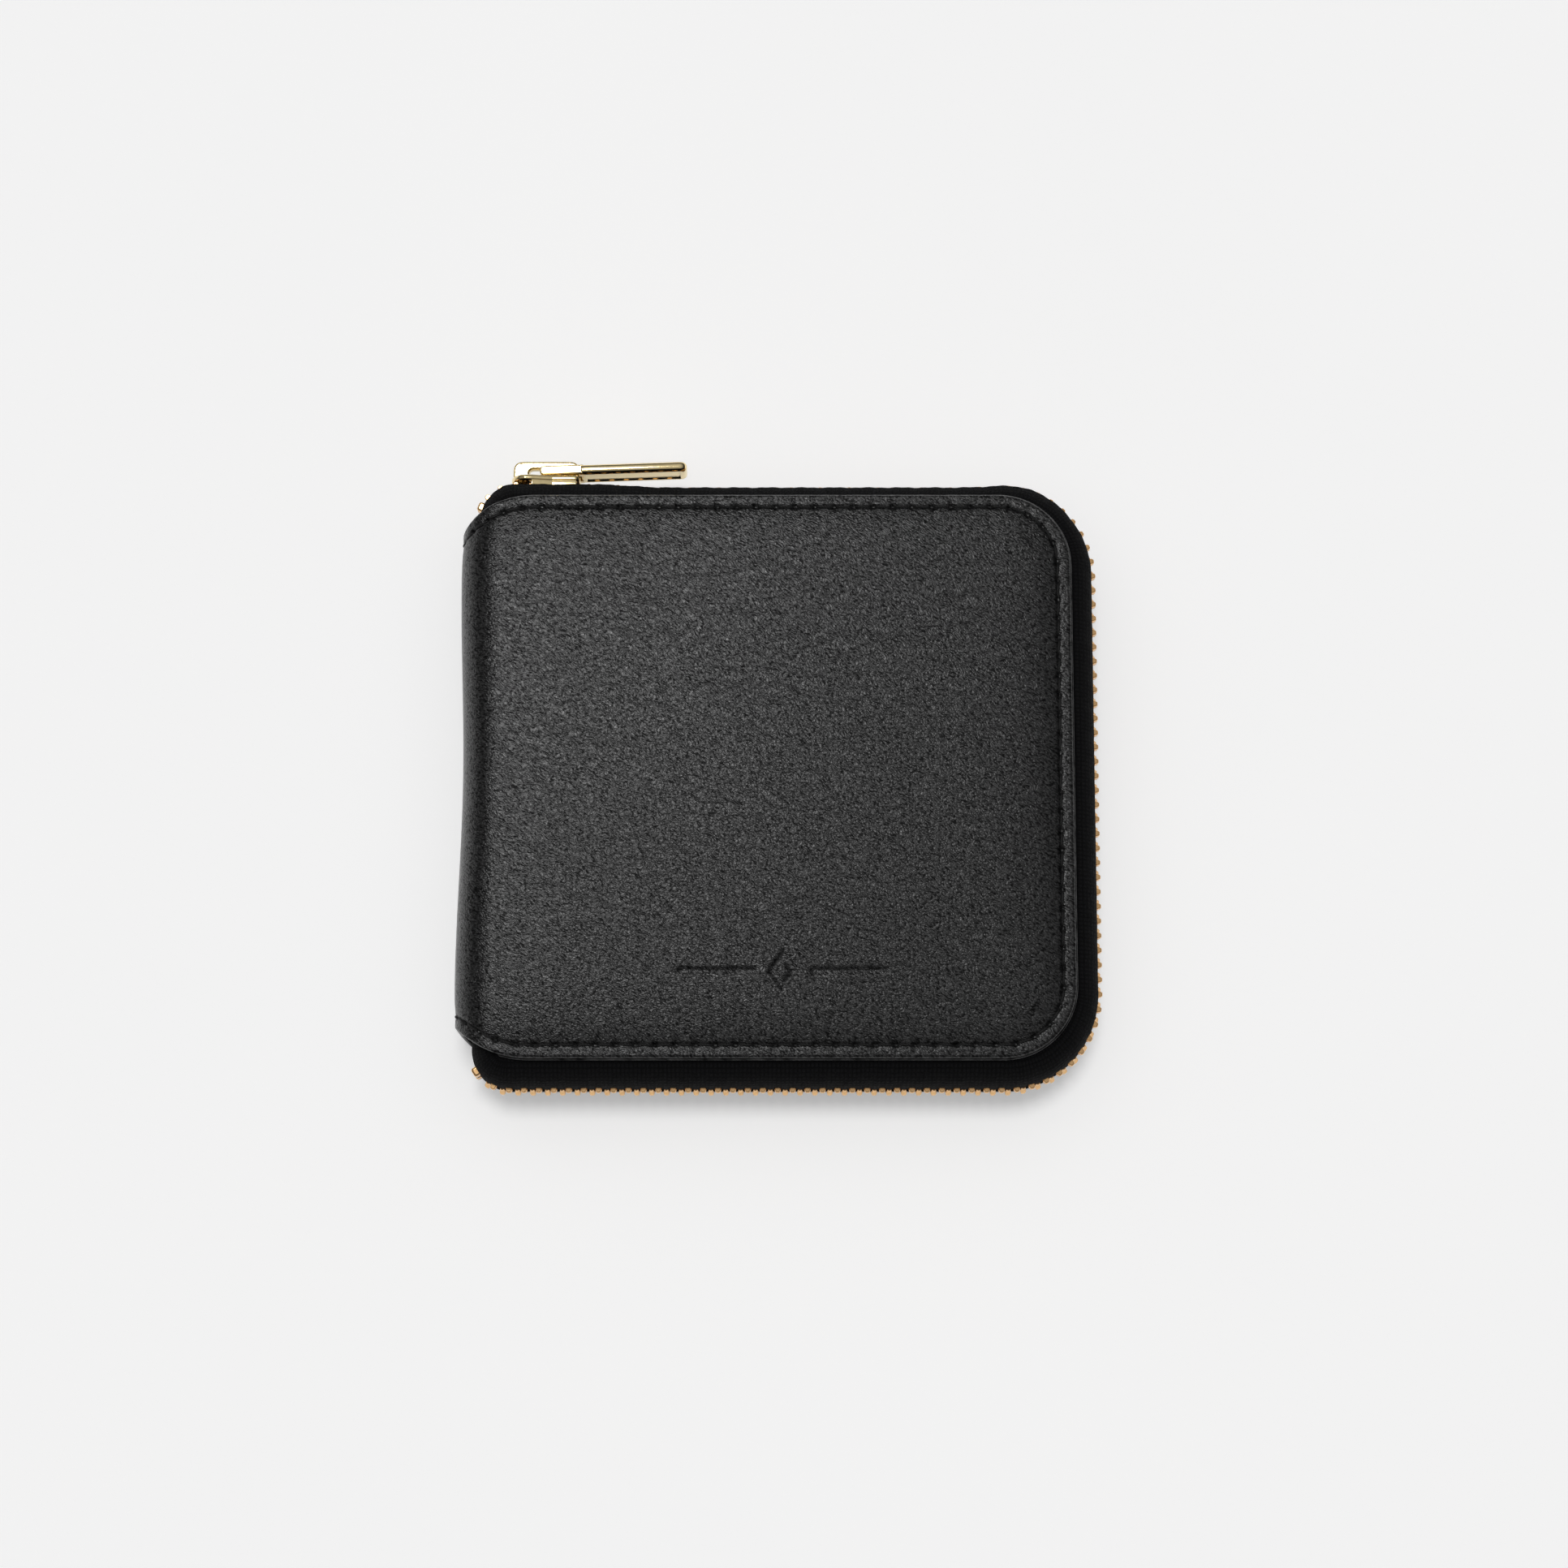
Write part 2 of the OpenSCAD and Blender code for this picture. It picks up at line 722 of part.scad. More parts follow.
module coin_teeth(side) {
    count = floor((coin_teeth_to - coin_teeth_from) / coin_pitch);
    color(brass) for (i = [0 : count - 1]) {
        y = coin_teeth_from + (i + (side > 0 ? 0 : 0.5)) * coin_pitch;
        apart = part_by * smooth((y - coin_mesh_y) / (part_over * coin_scale));
        at_coin_chain(y) scale([1, 1, -side]) translate([0, 0, apart]) tooth(crimp / coin_scale);
    }
}

module coin_end_stops() {
    color(brass) for (end = [-1, 1])
        translate([coin_x, end * (window_len / 2 - 1.2), coin_level])
            difference() {
                cube([2.6, 1.2, coin_tooth_t], center = true);
                for (side = [-1, 1]) translate([side * 1.9, 0, 0])
                    cube([2.1, 2, tape_t + gap], center = true);
            }
}

coin_pull_len = 10.4;

module coin_slider() {
    color(brass) at_coin_chain(coin_slider_y) slider_body();
}

module coin_pull() {
    color(brass) at_coin_chain(coin_slider_y) pull_body(coin_pull_len);
}

// -------------------------------------------------------------------- nodes

cover_back();
cover_spine();
cover_front();
stiffener_back();
stiffener_front();
lining_back();
lining_spine();
lining_front();
seam_thread_back();
seam_thread_spine();
seam_thread_front();
zip_tape_back();
zip_tape_front();
zip_teeth_back();
zip_teeth_front();
zip_top_stop_back();
zip_top_stop_front();
zip_bottom_stop();
zip_slider();
zip_pull();
card_backing();
card_slot(1);  // card_slot_1
card_slot(2);  // card_slot_2
card_slot(3);  // card_slot_3
card_slot(4);  // card_slot_4
note_panel();
coin_bag();
coin_panel();
coin_tape(-1);  // coin_tape_left
coin_tape(1);  // coin_tape_right
coin_teeth(-1);  // coin_teeth_left
coin_teeth(1);  // coin_teeth_right
coin_end_stops();
coin_slider();
coin_pull();
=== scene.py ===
import math

import bpy
import numpy as np
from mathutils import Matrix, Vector


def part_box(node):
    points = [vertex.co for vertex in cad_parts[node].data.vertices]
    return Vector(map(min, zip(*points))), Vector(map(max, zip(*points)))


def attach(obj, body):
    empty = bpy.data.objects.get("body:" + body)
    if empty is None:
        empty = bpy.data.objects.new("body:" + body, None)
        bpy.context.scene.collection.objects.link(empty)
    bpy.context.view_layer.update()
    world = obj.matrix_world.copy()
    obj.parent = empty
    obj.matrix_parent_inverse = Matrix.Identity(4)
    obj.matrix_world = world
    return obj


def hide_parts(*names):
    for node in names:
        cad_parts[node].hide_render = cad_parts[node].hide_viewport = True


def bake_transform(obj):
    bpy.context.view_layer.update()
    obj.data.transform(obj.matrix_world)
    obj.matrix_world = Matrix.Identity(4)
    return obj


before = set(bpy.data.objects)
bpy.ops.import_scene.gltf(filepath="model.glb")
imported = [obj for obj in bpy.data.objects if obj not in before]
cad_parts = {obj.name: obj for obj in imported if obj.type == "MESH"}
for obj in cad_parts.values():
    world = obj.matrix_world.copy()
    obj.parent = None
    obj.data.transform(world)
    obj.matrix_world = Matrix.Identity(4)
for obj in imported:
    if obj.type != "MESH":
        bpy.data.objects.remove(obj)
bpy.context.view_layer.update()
MM = 0.001

# ---------------------------------------------------------------- the table
# The wallet lies on its back on a pale table under a soft studio light that
# stands behind it and a little to the left.

wallet_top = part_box("cover_front")[1].z
aim = Vector((0.85 * MM, 0, wallet_top / 2))
camera_data = bpy.data.cameras.new("camera")
camera_data.lens = 83.3
camera_data.sensor_width = 36
camera_data.clip_start = 0.01
camera = bpy.data.objects.new("camera", camera_data)
bpy.context.scene.collection.objects.link(camera)
camera_tilt, camera_distance = math.radians(11), 0.620
camera.location = aim + camera_distance * Vector((0, -math.sin(camera_tilt), math.cos(camera_tilt)))
camera.rotation_euler = (camera_tilt, 0, 0)
bpy.context.scene.camera = camera
bpy.context.scene.view_settings.view_transform = "Standard"


def new_material(name):
    """A material with only a shader, its node tree and that shader."""
    material = bpy.data.materials.new(name)
    material.use_nodes = True
    return material, material.node_tree, material.node_tree.nodes["Principled BSDF"]


def node(tree, kind, values=(), **settings):
    """A node with its settings, and (socket, value or output) pairs for its inputs."""
    made = tree.nodes.new(kind)
    for key, value in settings.items():
        setattr(made, key, value)
    for socket, value in values:
        if isinstance(value, bpy.types.NodeSocket):
            tree.links.new(value, made.inputs[socket])
        else:
            made.inputs[socket].default_value = value
    return made


def mesh_object(name, points, faces, material, smooth=True, uv=None):
    """A mesh of points in millimetres, smooth but for its flat ends; uv lays the points out flat."""
    mesh = bpy.data.meshes.new(name)
    mesh.from_pydata([tuple(p) for p in np.asarray(points, float) * MM], [], faces)
    mesh.validate()
    if uv is not None:
        layer = mesh.uv_layers.new(name="flat")
        corners = np.empty(len(mesh.loops), np.int32)
        mesh.loops.foreach_get("vertex_index", corners)
        layer.data.foreach_set("uv", np.asarray(uv, np.float32)[corners].ravel())
    if smooth:
        mesh.polygons.foreach_set("use_smooth", [len(p.vertices) < 12 for p in mesh.polygons])
    mesh.materials.append(material)
    made = bpy.data.objects.new(name, mesh)
    bpy.context.scene.collection.objects.link(made)
    return made


table_material, tree, shader = new_material("table_paint")
speck = node(tree, "ShaderNodeTexNoise", [("Scale", 40.0), ("Detail", 3.0)])
shade = node(tree, "ShaderNodeValToRGB", [("Fac", speck.outputs["Fac"])])
shade.color_ramp.elements[0].color = (0.86, 0.86, 0.86, 1)
shade.color_ramp.elements[1].color = (0.88, 0.88, 0.88, 1)
tree.links.new(shade.outputs["Color"], shader.inputs["Base Color"])
shader.inputs["Roughness"].default_value = 0.9
shader.inputs["Specular IOR Level"].default_value = 0.1
shader.inputs["Emission Color"].default_value = (1, 1, 1, 1)
shader.inputs["Emission Strength"].default_value = 0.36
table_size = 2500
table = mesh_object(
    "table",
    [(-table_size, -table_size, 0), (table_size, -table_size, 0),
     (table_size, table_size, 0), (-table_size, table_size, 0)],
    [(0, 1, 2, 3)], table_material, smooth=False)
table.location.z = -0.02 * MM

world = bpy.data.worlds.new("studio")
world.use_nodes = True
tree = world.node_tree
ray = node(tree, "ShaderNodeTexCoord")
overhead = node(tree, "ShaderNodeVectorMath", [(0, ray.outputs["Generated"]), (1, (-0.06, 0.16, 0.98))],
                operation="DOT_PRODUCT")
sky = node(tree, "ShaderNodeValToRGB", [("Fac", overhead.outputs["Value"])])
sky.color_ramp.elements[0].position, sky.color_ramp.elements[0].color = 0.45, (0.06, 0.06, 0.06, 1)
sky.color_ramp.elements[1].position, sky.color_ramp.elements[1].color = 0.95, (1.0, 1.0, 1.0, 1)
tree.links.new(sky.outputs["Color"], tree.nodes["Background"].inputs["Color"])
tree.nodes["Background"].inputs["Strength"].default_value = 0.50
bpy.context.scene.world = world
sun_data = bpy.data.lights.new("softbox", "SUN")
sun_data.energy = 1.12
sun_data.angle = math.radians(16)
sun = bpy.data.objects.new("softbox", sun_data)
bpy.context.scene.collection.objects.link(sun)
sun.rotation_euler = Vector((-0.02, 0.13, 0.99)).to_track_quat("Z", "Y").to_euler()
sun.visible_glossy = False
panel_data = bpy.data.lights.new("side_panel", "AREA")
panel_data.energy = 0.6
panel_data.size = 0.12
panel = bpy.data.objects.new("side_panel", panel_data)
bpy.context.scene.collection.objects.link(panel)
panel.location = (-0.10, 0.12, 0.42)
panel.rotation_euler = Vector((-0.09, 0.09, 0.42)).to_track_quat("Z", "Y").to_euler()
panel.visible_diffuse = False

# ------------------------------------------------------------ outer leather
# The cover is one piece of fine-grained black calf, wrapped from the front over
# the spine to the back, with a painted edge and a sunk seam round it. It is made
# as two halves that meet along the spine and bend between it and their cover.

cover_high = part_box("stiffener_front")[1]
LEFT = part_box("cover_spine")[0].x / MM
RIGHT = cover_high.x / MM
HALF_H = cover_high.y / MM
THICK = wallet_top / MM
SPINE_R = 7.0
FOLD = LEFT + SPINE_R
WAIST_W, WAIST_DIP = 13.1, 5.3
WAIST_X = LEFT + WAIST_W
WAIST_R = (WAIST_W ** 2 + WAIST_DIP ** 2) / (2 * WAIST_DIP)
CORNER_R = 12.5
EDGE_INSET = 0.3
SPINE_HALF = THICK / 2 - SPINE_R
ARC_END = SPINE_HALF + SPINE_R * math.pi / 2
SEAM = 2.15
STITCH_ABOUT = 3.25
BAND = 6.0
LEATHER = 1.2


def section(u, lift):
    """x and z of the leather's section at u along it from the middle of the spine, lifted off by lift."""
    u = np.asarray(u, float)
    turn = np.clip((u - SPINE_HALF) / SPINE_R, 0, math.pi / 2)
    x = FOLD - (SPINE_R + lift) * np.cos(turn) + np.maximum(u - ARC_END, 0)
    z = THICK - SPINE_R + (SPINE_R + lift) * np.sin(turn) - np.maximum(SPINE_HALF - u, 0)
    return x, z


def half_height(x, inset):
    """Half the height of the cover's outline at x."""
    r = WAIST_R - inset
    dip = r - np.sqrt(np.maximum(r * r - np.maximum(WAIST_X - x, 0) ** 2, 0))
    return HALF_H - inset - dip


def cover_path(inset, step):
    """The cover's edge laid flat, from the spine's middle over the top to the right middle, evenly spaced."""
    u_right = ARC_END + RIGHT - FOLD - inset
    r = CORNER_R - inset
    u = np.arange(0, u_right - r, 0.05)
    top = np.stack([u, half_height(section(u, 0)[0], inset)], 1)
    a = np.linspace(0, math.pi / 2, 200)
    corner = np.stack([u_right - r + r * np.sin(a), HALF_H - inset - r + r * np.cos(a)], 1)
    side = np.stack([np.full(400, u_right), np.linspace(HALF_H - inset - r, 0, 401)[1:]], 1)
    line = np.concatenate([top, corner, side])
    along = np.concatenate([[0], np.cumsum(np.linalg.norm(np.diff(line, axis=0), axis=1))])
    even = np.linspace(0, along[-1], int(along[-1] / step) + 1)
    return np.stack([np.interp(even, along, line[:, k]) for k in (0, 1)], 1)


def inward(path):
    """The inward normal at each point of a clockwise path."""
    t = np.gradient(path, axis=0)
    t /= np.linalg.norm(t, axis=1)[:, None]
    return np.stack([t[:, 1], -t[:, 0]], 1)


EDGE_HALF = cover_path(EDGE_INSET, 0.36)
EDGE = np.concatenate([EDGE_HALF, EDGE_HALF[-2::-1] * (1, -1)])
EDGE_IN = inward(EDGE)
SEAM_LINE = EDGE + SEAM * EDGE_IN
SEAM_AT = np.concatenate([[0], np.cumsum(np.linalg.norm(np.diff(SEAM_LINE, axis=0), axis=1))])
STITCHES = int(SEAM_AT[-1] / STITCH_ABOUT / 2) * 2
STITCH = SEAM_AT[-1] / STITCHES


def bell(x, width):
    return np.exp(-(x / width) ** 2)


def soft_step(x, a, b):
    t = np.clip((x - a) / (b - a), 0, 1)
    return t * t * (3 - 2 * t)


def ripple(u, y):
    """The slow unevenness of soft leather over its filling."""
    return (0.5 * np.sin(u / 13.1 + y / 17.3) + 0.3 * np.sin(u / 7.7 - y / 9.9 + 1.3)
            + 0.2 * np.sin(u / 5.3 + y / 4.1 + 0.6))


def swell(depth, u, y, puff):
    """How far the leather stands above the CAD surface at this depth inside its edge."""
    inside = np.maximum(depth - SEAM, 0)
    rise = 1 - np.exp(-inside / 3.6)
    flat = soft_step(u, SPINE_HALF, ARC_END + 8)
    dome = (1 - (y / (HALF_H + 6)) ** 2) * flat * (1 - 0.35 * soft_step(u, 60, 112))
    return -0.3 + rise * (0.3 + puff * (0.35 + 0.65 * dome) * soft_step(u, 0, 26)) \
        + 0.05 * rise * ripple(u, y) * flat


def spine_draw(u, y):
    """The spine's leather is drawn in a little halfway up."""
    return -1.0 * (1 - soft_step(u, 0.4 * ARC_END, ARC_END)) * bell(y, 24)


def seam_dip(depth, along):
    """The sunk seam, deeper at the needle holes, which also pull the margin in."""
    phase = along / STITCH
    hole = bell((phase - np.round(phase)) * STITCH, 0.42)
    return (-0.15 * bell(depth - SEAM, 0.32) - 0.36 * hole * bell(depth - SEAM, 0.40)
            - 0.07 * hole * bell(depth - SEAM + 0.8, 0.7) - 0.05 * bell(depth - SEAM - 0.8, 1.1))


MARK_X, MARK_Y = 0.7, 14.7 - HALF_H


def pressed_mark(x, y):
    """The plain mark pressed into the front: a lozenge between two bars."""
    px, py = x - MARK_X, y - MARK_Y
    from_middle = np.abs(px) / 2.6 + np.abs(py) / 3.6
    lozenge = 1 - soft_step(from_middle, 0.86, 1.06)
    ring = soft_step(from_middle, 0.36, 0.56)
    bars = (1 - soft_step(np.abs(np.abs(px) - 11), 6.3, 6.6)) * (1 - soft_step(np.abs(py), 0.35, 0.6))
    return -0.3 * np.maximum(lozenge * ring, bars)


def wrapped_sheet(name, side, edge, depths, over, under, under_depths, material, fine=None, closed=False):
    """One half of a sheet that wraps from the spine's middle over a cover, as a skin that closed shuts at the spine.

    edge is its outline laid flat, from the spine over the top and round to the spine again. Rings
    follow it inwards at the given depths, and a patch of rows and columns fills the rest. over and
    under give the lift of its two faces off the leather's outside; fine(x, y) says where the patch
    keeps every sample.
    """
    n = len(edge)
    pull_in = inward(edge)
    corner = edge[:, 0].max() - edge[:, 0], edge[:, 1].max() - edge[:, 1]
    bend = int(np.argmin(np.abs(corner[0] - corner[1])[: n // 2] + 100 * (corner[0] > 20)[: n // 2]))
    points, uvs, faces = [], [], []

    def add(flat, lift):
        x, z = section(flat[:, 0], lift)
        start = sum(len(p) for p in points)
        points.append(np.stack([x, flat[:, 1], z], 1))
        uvs.append(flat / 100)
        return start

    def ring(depth, lift_of):
        flat = edge + depth * pull_in
        return add(flat, lift_of(np.full(n, depth), flat))

    def band(a, b):
        faces.extend((b + i, b + i + 1, a + i + 1, a + i) for i in range(n - 1))

    def patch(start, deepest, top, down, lift_of, flip):
        flat_ring = edge + deepest * pull_in
        s, t = (top / bend)[:, None], ((down - bend) / (n - 1 - 2 * bend))[None, :]
        first, last = flat_ring[0], flat_ring[n - 1]
        grid = ((1 - t)[..., None] * flat_ring[top][:, None] + t[..., None] * flat_ring[n - 1 - top][:, None]
                + (1 - s)[..., None] * (first + (last - first) * t[0][:, None])[None]
                + s[..., None] * flat_ring[down][None]
                - ((1 - s) * (1 - t))[..., None] * first - (s * (1 - t))[..., None] * flat_ring[bend]
                - ((1 - s) * t)[..., None] * last - (s * t)[..., None] * flat_ring[n - 1 - bend])
        flat = grid[:-1, 1:-1].reshape(-1, 2)
        sides = np.stack([np.interp(flat[:, 0], edge[:bend, 0], edge[:bend, 1]) - np.abs(flat[:, 1]),
                          edge[:, 0].max() - flat[:, 0]])
        depth = -1.2 * np.log(np.exp(-sides / 1.2).sum(0))
        base = add(flat, lift_of(np.maximum(depth, deepest), flat))
        cols, rows = len(top) - 1, len(down) - 2
        inner = base + np.arange(len(flat)).reshape(cols, rows)
        loop = start + np.arange(n)
        made = [(inner[i, j], inner[i + 1, j], inner[i + 1, j + 1], inner[i, j + 1])
                for i in range(cols - 1) for j in range(rows - 1)]
        for i in range(cols - 1):
            a, b = top[i], top[i + 1]
            made.append((*loop[a:b + 1], inner[i + 1, 0], inner[i, 0]))
            made.append((*loop[n - 1 - b:n - a], inner[i, -1], inner[i + 1, -1]))
        made.append((*loop[top[-2]:down[1] + 1], inner[-1, 0]))
        made.append((*loop[down[-2]:n - top[-2]], inner[-1, -1]))
        for j in range(1, rows):
            made.append((*loop[down[j]:down[j + 1] + 1], inner[-1, j], inner[-1, j - 1]))
        faces.extend(f[::flip] for f in made)
        return [int(v) for v in inner[0]]

    rings = [ring(d, over) for d in depths]
    for a, b in zip(rings, rings[1:]):
        band(a, b)
    keep = np.zeros(n, bool)
    if fine is not None:
        flat = edge + depths[-1] * pull_in
        keep = fine(section(flat[:, 0], 0)[0], flat[:, 1])
    top = np.array([i for i in range(bend + 1) if i % 3 == 0 or keep[i] or i == bend])
    down = np.array([i for i in range(bend, n - bend) if (i - bend) % 3 == 0 or keep[i] or i == n - 1 - bend])
    over_cut = patch(rings[-1], depths[-1], top, down, over, -1)
    backs = [ring(d, under) for d in under_depths]
    band(backs[0], rings[0])
    for a, b in zip(backs, backs[1:]):
        band(b, a)
    top = np.array(sorted({*range(0, bend + 1, 9), bend}))
    down = np.array(sorted({*range(bend, n - bend, 9), n - 1 - bend}))
    under_cut = patch(backs[-1], under_depths[-1], top, down, under, 1)
    if closed:
        over_cut = rings + over_cut + [r + n - 1 for r in rings[::-1]]
        under_cut = backs + under_cut + [r + n - 1 for r in backs[::-1]]
        faces.append((*over_cut, *under_cut[::-1]))
    points = np.concatenate(points)
    if side < 0:
        points[:, 2] = THICK - points[:, 2]
    faces = [tuple(int(v) for v in f[::side]) for f in faces]
    return mesh_object(name, points, faces, material, uv=np.concatenate(uvs) * (1, side) + (0, 2 * side))


def round_edge(depth, radius):
    """How far a rounded edge drops at this depth inside the outline."""
    return radius * (1 - np.sqrt(np.clip(1 - np.clip(1 - depth / radius, 0, 1) ** 2, 0, 1)))


def leather_finish(name, tint, grain_mm, depth_mm, rough):
    """Dyed calf: a fine drawn-out pebble lying two ways, glossier on its tops, with shade painted in its creases."""
    material, tree, shader = new_material(name)
    place = node(tree, "ShaderNodeUVMap", uv_map="flat")
    drift = node(tree, "ShaderNodeTexNoise", [("Vector", place.outputs[0]), ("Scale", 60.0), ("Detail", 2.0)])
    wander = node(tree, "ShaderNodeVectorMath", [(0, drift.outputs["Color"]), (1, (0.5, 0.5, 0.5))],
                  operation="SUBTRACT")
    small = node(tree, "ShaderNodeVectorMath", [(0, wander.outputs[0])], operation="SCALE")
    small.inputs["Scale"].default_value = 0.012
    moved = node(tree, "ShaderNodeVectorMath", [(0, place.outputs[0]), (1, small.outputs[0])], operation="ADD")
    lays = []
    for angle in (-0.5, 0.9):
        laid = node(tree, "ShaderNodeMapping", [("Vector", moved.outputs[0]), ("Rotation", (0, 0, angle)),
                                                ("Scale", (2.4, 1, 1))], vector_type="TEXTURE")
        pebble = node(tree, "ShaderNodeTexVoronoi", [("Vector", laid.outputs[0]), ("Scale", 100 / grain_mm),
                                                     ("Smoothness", 0.35)], feature="SMOOTH_F1")
        crease = node(tree, "ShaderNodeTexNoise", [("Vector", laid.outputs[0]), ("Scale", 55 / grain_mm),
                                                   ("Detail", 4.0), ("Roughness", 0.6)])
        height = node(tree, "ShaderNodeMath", [(0, pebble.outputs["Distance"]), (1, -0.75)], operation="MULTIPLY")
        lays.append(node(tree, "ShaderNodeMath", [(0, height.outputs[0]), (1, crease.outputs["Fac"])],
                         operation="ADD").outputs[0])
    lie = node(tree, "ShaderNodeVectorMath", [(0, place.outputs[0]), (1, (1.1, -0.9, 0))], operation="DOT_PRODUCT")
    turned = node(tree, "ShaderNodeMapRange", [("Value", lie.outputs["Value"]), ("From Min", 0.2),
                                               ("From Max", 1.0)], interpolation_type="SMOOTHSTEP")
    both = node(tree, "ShaderNodeMix", [(0, turned.outputs[0]), (2, lays[0]), (3, lays[1])])
    bump = node(tree, "ShaderNodeBump", [("Height", both.outputs[0]), ("Strength", 1.0),
                                         ("Distance", depth_mm * MM)])
    tree.links.new(bump.outputs[0], shader.inputs["Normal"])
    # Painted shade: the colour falls to a third of the tint in the grain's creases and hollows and is full only on
    # the pebbles' tops.
    tone = node(tree, "ShaderNodeValToRGB", [("Fac", both.outputs[0])])
    tone.color_ramp.elements[0].position = 0.0
    tone.color_ramp.elements[0].color = (*(0.35 * c for c in tint), 1)
    tone.color_ramp.elements[1].position = 0.45
    tone.color_ramp.elements[1].color = (*tint, 1)
    tree.links.new(tone.outputs["Color"], shader.inputs["Base Color"])
    cloudy = node(tree, "ShaderNodeTexNoise", [("Vector", place.outputs[0]), ("Scale", 3.0), ("Detail", 3.0)])
    shine = node(tree, "ShaderNodeMapRange", [("Value", cloudy.outputs["Fac"]), ("To Min", rough - 0.05),
                                              ("To Max", rough + 0.05)])
    tree.links.new(shine.outputs[0], shader.inputs["Roughness"])
    gloss = node(tree, "ShaderNodeMapRange", [("Value", both.outputs[0]), ("From Min", -0.15), ("From Max", 0.40),
                                              ("To Min", 0.10), ("To Max", 1.0)])
    tree.links.new(gloss.outputs[0], shader.inputs["Specular IOR Level"])
    shader.inputs["Sheen Weight"].default_value = 0.12
    shader.inputs["Sheen Roughness"].default_value = 0.3
    return material


calf = leather_finish("black_calf", (0.0060, 0.0060, 0.0063), 0.21, 0.085, 0.34)
LEATHER_RINGS = [0.0, 0.04, 0.12, 0.25, 0.42, 0.7, 1.0, 1.3, 1.53, 1.72, 1.88, 2.02, 2.15, 2.28, 2.42, 2.58, 2.8,
                 3.15, 3.6, 4.2, 5.0, BAND]


def leather_outside(puff, mark):
    def lift(depth, flat):
        height = swell(depth, *flat.T, puff) - round_edge(depth, 0.5) + spine_draw(*flat.T)
        if len(flat) == len(EDGE):
            height = height + seam_dip(depth, SEAM_AT)
        if mark:
            height = height + pressed_mark(section(flat[:, 0], 0)[0], flat[:, 1])
        return height
    return lift


def leather_inside(depth, flat):
    return -LEATHER + round_edge(depth, 0.15) + spine_draw(*flat.T)


def near_mark(x, y):
    """The rows and columns of the patch that cross the pressed mark."""
    return ((y > 0) & (np.abs(x - MARK_X) < 19)) | (np.abs(y - MARK_Y) < 4.6)


def bend_with(piece):
    """The piece stays as it is built, round the spine and over its cover, with its place baked into its points."""
    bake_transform(piece)


front_leather = wrapped_sheet("front_leather", 1, EDGE, LEATHER_RINGS, leather_outside(0.8, True), leather_inside,
                              [0.0, 0.15, 1.2, BAND], calf, near_mark)
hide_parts("cover_front", "cover_spine")
bend_with(front_leather)
back_leather = wrapped_sheet("back_leather", -1, EDGE, LEATHER_RINGS, leather_outside(0.0, False), leather_inside,
                             [0.0, 0.15, 1.2, BAND], calf)
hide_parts("cover_back")
bend_with(back_leather)

# -------------------------------------------------------------- seam thread
# Black waxed polyester thread, sewn by machine at about eight stitches to
# the inch. Each stitch lies in the sunk seam, a little askew, and dives into
# a needle hole at both ends.

thread, tree, shader = new_material("black_thread")
place = node(tree, "ShaderNodeUVMap", uv_map="flat")
twist = node(tree, "ShaderNodeTexWave", [("Vector", place.outputs[0]), ("Scale", 3.8), ("Distortion", 0.6)],
             bands_direction="DIAGONAL")
bump = node(tree, "ShaderNodeBump", [("Height", twist.outputs["Fac"]), ("Strength", 0.8), ("Distance", 0.06 * MM)])
tree.links.new(bump.outputs[0], shader.inputs["Normal"])
# Painted shade: the thread is coloured darker in the grooves of its twist and lighter on its crowns.
tone = node(tree, "ShaderNodeValToRGB", [("Fac", twist.outputs["Fac"])])
tone.color_ramp.elements[0].color = (0.003, 0.003, 0.003, 1)
tone.color_ramp.elements[1].color = (0.012, 0.012, 0.012, 1)
tree.links.new(tone.outputs["Color"], shader.inputs["Base Color"])
shader.inputs["Roughness"].default_value = 0.55
shader.inputs["Specular IOR Level"].default_value = 0.35


def seam_thread(name, side):
    """All the stitches of one half, each a tapered strand that follows the seam."""
    ring_count, sides, radius = 9, 8, 0.24
    reach = np.linspace(-1, 1, ring_count)
    around = np.linspace(0, 2 * math.pi, sides, endpoint=False)
    normals = inward(SEAM_LINE)
    points, faces, uvs = [], [], []
    for k in range(STITCHES):
        middle = (k + 0.5) * STITCH
        start = len(points)
        for a in reach:
            thick = radius * (1 - 0.35 * abs(a) ** 3)
            s = middle + a * STITCH * 0.47
            on = np.array([np.interp(s, SEAM_AT, SEAM_LINE[:, c]) for c in (0, 1)])
            across = np.array([np.interp(s, SEAM_AT, normals[:, c]) for c in (0, 1)])
            sink = -0.40 - 0.55 * abs(a) ** 4 + float(spine_draw(*on))
            for w in around:
                flat = on + across * (thick * math.cos(w) + 0.16 * a)
                x, z = section(flat[0], sink + thick * 0.85 * math.sin(w))
                points.append((x, flat[1], z if side > 0 else THICK - z))
                uvs.append((a * 0.5 + k, w / 6.283))
        for q in range(ring_count - 1):
            for w in range(sides):
                a, b = start + q * sides + w, start + q * sides + (w + 1) % sides
                faces.append((a, b, b + sides, a + sides)[::-side])
        faces.append(tuple(range(start, start + sides))[::side])
        faces.append(tuple(range(start + (ring_count - 1) * sides, start + ring_count * sides))[::-side])
    return mesh_object(name, points, faces, thread, uv=np.array(uvs))


front_thread = seam_thread("front_seam_thread", 1)
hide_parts("seam_thread_front", "seam_thread_spine")
bend_with(front_thread)
back_thread = seam_thread("back_seam_thread", -1)
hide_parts("seam_thread_back")
bend_with(back_thread)

# --------------------------------------------------------------- stiffeners
# Behind each leather lies a firm backing that stands out a little past it.
# Its edge is sanded round and painted, which leaves a second thin line below
# the leather's own edge.


